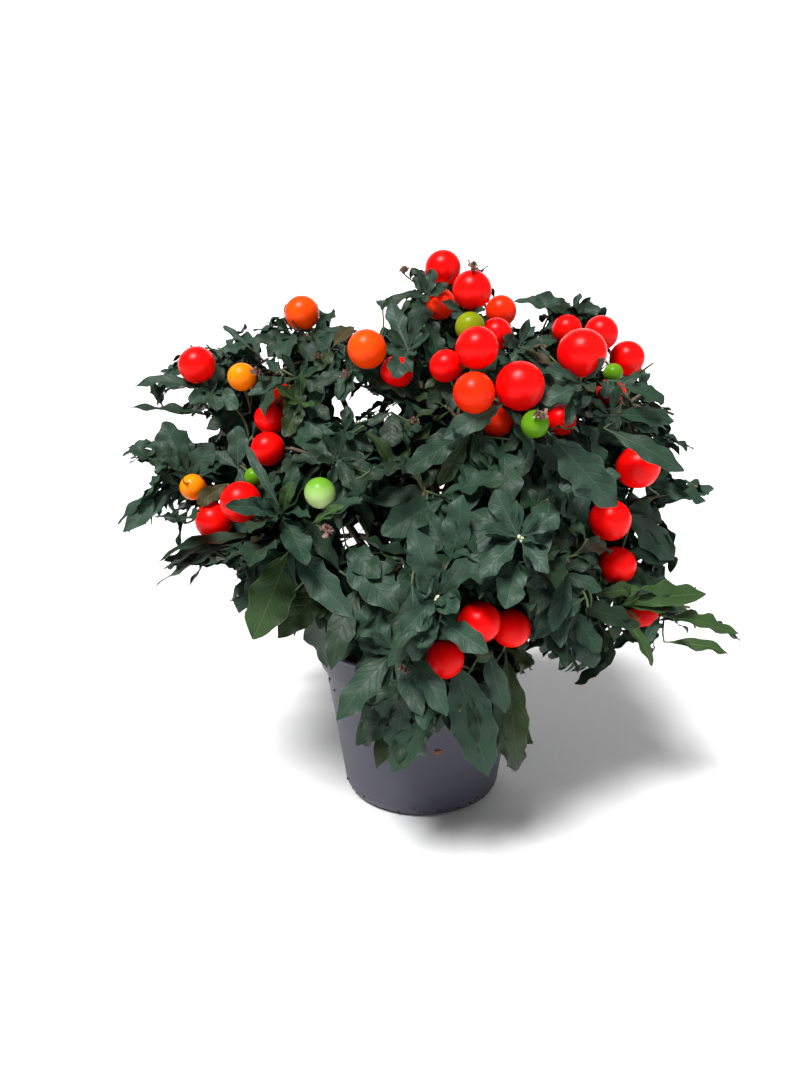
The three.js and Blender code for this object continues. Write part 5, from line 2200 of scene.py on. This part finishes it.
@dataclass
class Pot:
    """The nursery pot, thin-walled, with a rim band, a rounded heel and drain holes."""

    band: float = 15.0
    band_radius: float = 58.6
    wall_top_radius: float = 56.2
    heel_height: float = 13.0
    heel_radius: float = 46.0
    foot_radius: float = 38.0
    wall: float = 1.6
    floor: float = 2.4
    sides: int = 120
    drain_holes: int = 8
    drain_hole_radius: float = 4.0
    drain_circle_radius: float = 27.0
    specks: int = 46
    speck_bands: tuple[tuple[float, float, float], ...] = ((-140, 62, 77.5), (-90, 2.5, 9))
    speck_spread: float = 75.0
    speck_radii: tuple[float, float] = (0.3, 0.9)
    crumb_radii: tuple[float, float] = (0.9, 1.8)
    crumb_parts: int = 7
    crumb_at: tuple[float, float] = (-81.0, 44.0)

    def profile(self) -> list[tuple[float, float]]:
        """The outline of the wall from the middle of the underside round to the middle of the floor.

        Returns:
            Radii and heights.
        """
        step = POT_HEIGHT - self.band
        inner_top = self.wall_top_radius - self.wall
        return [
            (0, 0),
            (self.foot_radius, 0),
            (self.heel_radius - 3.2, 2.6),
            (self.heel_radius - 0.9, 6.5),
            (self.heel_radius, self.heel_height),
            (self.wall_top_radius, step),
            (self.band_radius, step + 0.8),
            (RIM_RADIUS - 0.8, POT_HEIGHT - 2),
            (RIM_RADIUS, POT_HEIGHT - 1.2),
            (RIM_RADIUS - 0.5, POT_HEIGHT),
            (RIM_RADIUS - 0.6 - self.wall, POT_HEIGHT),
            (self.band_radius - self.wall, step + 2),
            (inner_top, step - 1),
            (self.heel_radius - self.wall, self.heel_height),
            (self.heel_radius - 4, self.floor + 2.6),
            (self.foot_radius - 1, self.floor),
            (0, self.floor),
        ]

    def dress(self) -> None:
        """Makes the pot."""
        bm = bmesh.new()
        verts = [bm.verts.new((radius, 0, height)) for radius, height in self.profile()]
        edges = [bm.edges.new(pair) for pair in zip(verts, verts[1:])]
        bmesh.ops.spin(
            bm, geom=[*verts, *edges], cent=(0, 0, 0), axis=(0, 0, 1), angle=2 * math.pi, steps=self.sides,
            use_merge=True,
        )
        bmesh.ops.remove_doubles(bm, verts=bm.verts, dist=0.001)
        bmesh.ops.recalc_face_normals(bm, faces=bm.faces)
        rings = [e for e in bm.edges if self.is_ring(e) and e.calc_face_angle(0) > 0.12]
        bmesh.ops.bevel(bm, geom=rings, offset=0.45, affect="EDGES", segments=3, profile=0.5, material=-1)
        mesh = smooth_mesh("pot_wall", bm)
        piece = show("pot_wall", mesh, POT_PLASTIC)
        self.drill(piece)
        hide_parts("pot")
        self.speckle()

    def wall_radius(self, height: float) -> float:
        """The wall's outer radius at a height."""
        outer = self.profile()[:10]
        return float(np.interp(height, [point[1] for point in outer], [point[0] for point in outer]))

    def speckle(self) -> None:
        """Lays specks of compost on the wall, under its step and near its foot, and one crumb in front.

        Each band of specks has the angle of its middle, in degrees, and its least and greatest height.
        """
        grain = grit(1.7, 0.4)
        specks = Joined("pot_specks", FIBRE_DARK)
        crumb = Joined("pot_crumb", FIBRE_RED)
        draws = Stream(SEED + 950)
        spots = []
        for k in range(self.specks):
            middle, low, high = self.speck_bands[k % 2]
            height = draws.between(low, high)
            turn = middle + draws.between(-self.speck_spread, self.speck_spread)
            spots.append((turn, height, draws.between(*self.speck_radii), specks))
        for _ in range(self.crumb_parts):
            turn, height = (value + draws.between(-1.2, 1.2) for value in self.crumb_at)
            spots.append((turn, height, draws.between(*self.crumb_radii), crumb))
        for turn, height, size, joined in spots:
            angle, radius = math.radians(turn), self.wall_radius(height)
            place = np.array((radius * math.cos(angle), radius * math.sin(angle), height))
            sizes = size * np.array([draws.between(0.6, 1.2) for _ in range(3)])
            joined.add(grain, (place + grain.corners * sizes)[None])
        for joined in (specks, crumb):
            joined.piece()

    @staticmethod
    def is_ring(edge: bmesh.types.BMEdge) -> bool:
        """Whether an edge runs round the pot."""
        low, high = (vert.co for vert in edge.verts)
        return abs(low.z - high.z) < 0.01 and abs(low.xy.length - high.xy.length) < 0.01 and low.xy.length > 1

    def drill(self, piece: bpy.types.Object) -> None:
        """Cuts the drain holes through the floor.

        Args:
            piece: The pot.
        """
        bm = bmesh.new()
        radius = self.drain_hole_radius
        for k in range(self.drain_holes):
            angle = 2 * math.pi * (k + 0.5) / self.drain_holes
            at = Vector((math.cos(angle), math.sin(angle), 0)) * self.drain_circle_radius
            made = bmesh.ops.create_cone(
                bm, cap_ends=True, segments=24, radius1=radius, radius2=radius, depth=4 * self.floor
            )
            bmesh.ops.translate(bm, vec=at, verts=made["verts"])
        cutter = bpy.data.objects.new("drill", smooth_mesh("drill", bm))
        bpy.context.scene.collection.objects.link(cutter)
        cut = piece.modifiers.new("drain", "BOOLEAN")
        cut.operation = "DIFFERENCE"
        cut.solver = "EXACT"
        cut.object = cutter
        drilled = bpy.data.meshes.new_from_object(piece.evaluated_get(bpy.context.evaluated_depsgraph_get()))
        piece.modifiers.clear()
        piece.data = drilled
        bpy.data.objects.remove(cutter)


@dataclass
class Compost:
    """The peat compost in the pot: a rough surface with fibres and crumbs on it."""

    rings: int = 26
    segments: int = 96
    radius: float = 55.2
    depth: float = 70.0
    fibres: int = 900
    crumbs: int = 700
    fibre_half_lengths: tuple[float, float] = (1.2, 4.5)
    fibre_radii: tuple[float, float] = (0.25, 0.75)
    crumb_radii: tuple[float, float] = (0.6, 1.9)
    heap: float = 1.6
    heap_reach: float = 14.0

    def height(self, x: float, y: float) -> float:
        """The height of the surface, heaped a little round the trunk."""
        lumps = noise.noise(Vector((x, y, 3)) * 0.09) * 2.4 + noise.noise(Vector((x, y, 9)) * 0.3) * 1.2
        return SOIL_TOP + lumps - 0.8 + self.heap * bell(0, self.heap_reach, math.hypot(x, y))

    def dress(self) -> None:
        """Makes the surface, the fibres and the crumbs."""
        bm = bmesh.new()
        bmesh.ops.create_circle(bm, segments=self.segments, radius=self.radius)
        rim = list(bm.edges)
        edges = rim
        for k in range(1, self.rings):
            made = bmesh.ops.extrude_edge_only(bm, edges=edges)
            verts, edges = of_kind(made, bmesh.types.BMVert), of_kind(made, bmesh.types.BMEdge)
            inner = (1 - k / self.rings) / (1 - (k - 1) / self.rings)
            bmesh.ops.scale(bm, vec=Vector((inner, inner, 1)), verts=verts)
        bmesh.ops.holes_fill(bm, edges=edges, sides=self.segments)
        for vert in bm.verts:
            vert.co.z = self.height(vert.co.x, vert.co.y)
        wall = bmesh.ops.extrude_edge_only(bm, edges=[edge for edge in rim if edge.is_valid])
        low = of_kind(wall, bmesh.types.BMVert)
        bmesh.ops.translate(bm, vec=Vector((0, 0, -self.depth)), verts=low)
        bmesh.ops.scale(bm, vec=Vector((0.8, 0.8, 1)), verts=low)
        bmesh.ops.holes_fill(bm, edges=of_kind(wall, bmesh.types.BMEdge), sides=self.segments)
        bmesh.ops.recalc_face_normals(bm, faces=bm.faces)
        piece = show("compost", smooth_mesh("compost", bm), COMPOST)
        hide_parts("soil")
        self.strew()

    def somewhere(self, draws: Stream, margin_kept: float) -> np.ndarray:
        """A place on the surface, drawn at random.

        Args:
            draws: The numbers to draw from.
            margin_kept: How far from the wall it keeps.

        Returns:
            The place.
        """
        away = (self.radius - margin_kept) * math.sqrt(draws.next())
        angle = 2 * math.pi * draws.next()
        x, y = away * math.cos(angle), away * math.sin(angle)
        return np.array((x, y, self.height(x, y)))

    def strew(self) -> None:
        """Lays fibres and crumbs on the surface."""
        tube = Tube(5, 4)
        fibre_pieces = [Joined("compost_fibres_red", FIBRE_RED), Joined("compost_fibres_dark", FIBRE_DARK)]
        draws = Stream(SEED + 900)
        for k in range(self.fibres):
            place = self.somewhere(draws, 4)
            turn = 2 * math.pi * draws.next()
            half = draws.between(*self.fibre_half_lengths)
            reach = half * np.array((math.cos(turn), math.sin(turn), draws.between(-0.25, 0.35)))
            middle = place + draws.between(0, 0.9) * UP
            line = Line(middle - reach, middle + draws.between(0, 1.2) * UP, middle + reach)
            radii = draws.between(*self.fibre_radii) * (1 - 0.5 * np.abs(2 * tube.shares - 1))
            fibre_pieces[k % 3 == 0].add_tube(tube, line, radii)
        for joined in fibre_pieces:
            joined.piece()
        grain = grit(2.3, 0.35)
        crumbs = Joined("compost_crumbs", FIBRE_DARK)
        for _ in range(self.crumbs):
            place = self.somewhere(draws, 3) + 0.3 * UP
            sizes = np.array([draws.between(*self.crumb_radii) for _ in range(3)])
            crumbs.add(grain, (place + grain.corners * sizes)[None])
        crumbs.piece()


@dataclass
class Studio:
    """A pale cove, soft light and the camera."""

    half_width: float = 4000.0
    bend: float = 1500.0
    sky: float = 0.18
    lamps: tuple[tuple[str, tuple[float, float, float], float, float], ...] = (
        ("key", (-0.3, -0.6, 1.0), 22, 5.5),
        ("fill", (0.9, -0.7, 0.5), 80, 0.4),
    )

    def dress(self) -> None:
        """Sets up the floor, the light and the camera."""
        self.floor()
        self.light()
        self.camera()

    def floor(self) -> None:
        """Makes a pale floor that curves up to a wall behind."""
        bm = bmesh.new()
        bmesh.ops.create_grid(bm, x_segments=1, y_segments=1, size=self.half_width)
        back = [edge for edge in bm.edges if all(vert.co.y > 0 for vert in edge.verts)]
        high = of_kind(bmesh.ops.extrude_edge_only(bm, edges=back), bmesh.types.BMVert)
        bmesh.ops.translate(bm, vec=Vector((0, 0, self.half_width)), verts=high)
        corner = [edge for edge in bm.edges if all(vert.co.z < 1 and vert.co.y > 0 for vert in edge.verts)]
        bmesh.ops.bevel(
            bm, geom=corner, offset=self.bend, affect="EDGES", segments=16, profile=0.5, material=-1
        )
        bmesh.ops.recalc_face_normals(bm, faces=bm.faces)
        mesh = smooth_mesh("studio_floor", bm)
        floor = bpy.data.objects.new("studio_floor", mesh)
        bpy.context.scene.collection.objects.link(floor)
        paper = Finish("backdrop paper, matt white", "#f4f4f4", "#f1f1f1", 400, 0.9, 2, 0.01)
        mesh.materials.append(paper.material())

    def light(self) -> None:
        """Adds a broad soft light above the front, a weaker one from the right, and light from all round."""
        scene = bpy.context.scene
        scene.view_settings.view_transform = "Standard"
        world = bpy.data.worlds.new("studio")
        scene.world = world
        world.use_nodes = True
        sky = world.node_tree.nodes["Background"]
        sky.inputs["Color"].default_value = linear("#ffffff")
        sky.inputs["Strength"].default_value = self.sky
        for name, way, spread, power in self.lamps:
            lamp = bpy.data.lights.new(name, "SUN")
            lamp.angle = math.radians(spread)
            lamp.energy = power
            light = bpy.data.objects.new(name, lamp)
            light.location = way
            light.rotation_euler = Vector(way).to_track_quat("Z", "Y").to_euler()
            scene.collection.objects.link(light)

    def camera(self) -> None:
        """Puts the camera at the photograph's viewing angle."""
        lens = bpy.data.cameras.new("camera")
        lens.sensor_fit = "HORIZONTAL"
        lens.sensor_width = 36
        lens.lens = FOCAL_LENGTH / PICTURE_WIDTH * lens.sensor_width
        lens.clip_start = 0.01
        lens.clip_end = 50
        camera = bpy.data.objects.new("camera", lens)
        camera.location = Vector(EYE) * METRE
        camera.rotation_euler = (math.pi / 2 - EYE_PITCH, 0, 0)
        bpy.context.scene.collection.objects.link(camera)
        bpy.context.scene.camera = camera


def main() -> None:
    """Builds the plant, its pot and the studio."""
    logging.basicConfig(level=logging.INFO, format="%(message)s")
    Studio().dress()
    Pot().dress()
    Compost().dress()
    skeleton = Skeleton(Frame())
    Limbs(skeleton).dress()
    foliage = Foliage(skeleton)
    foliage.dress()
    Fruit(skeleton, foliage.plain_grid).dress()
    Blossom(skeleton, foliage.plain_grid).dress()


if __name__ == "__main__":
    main()
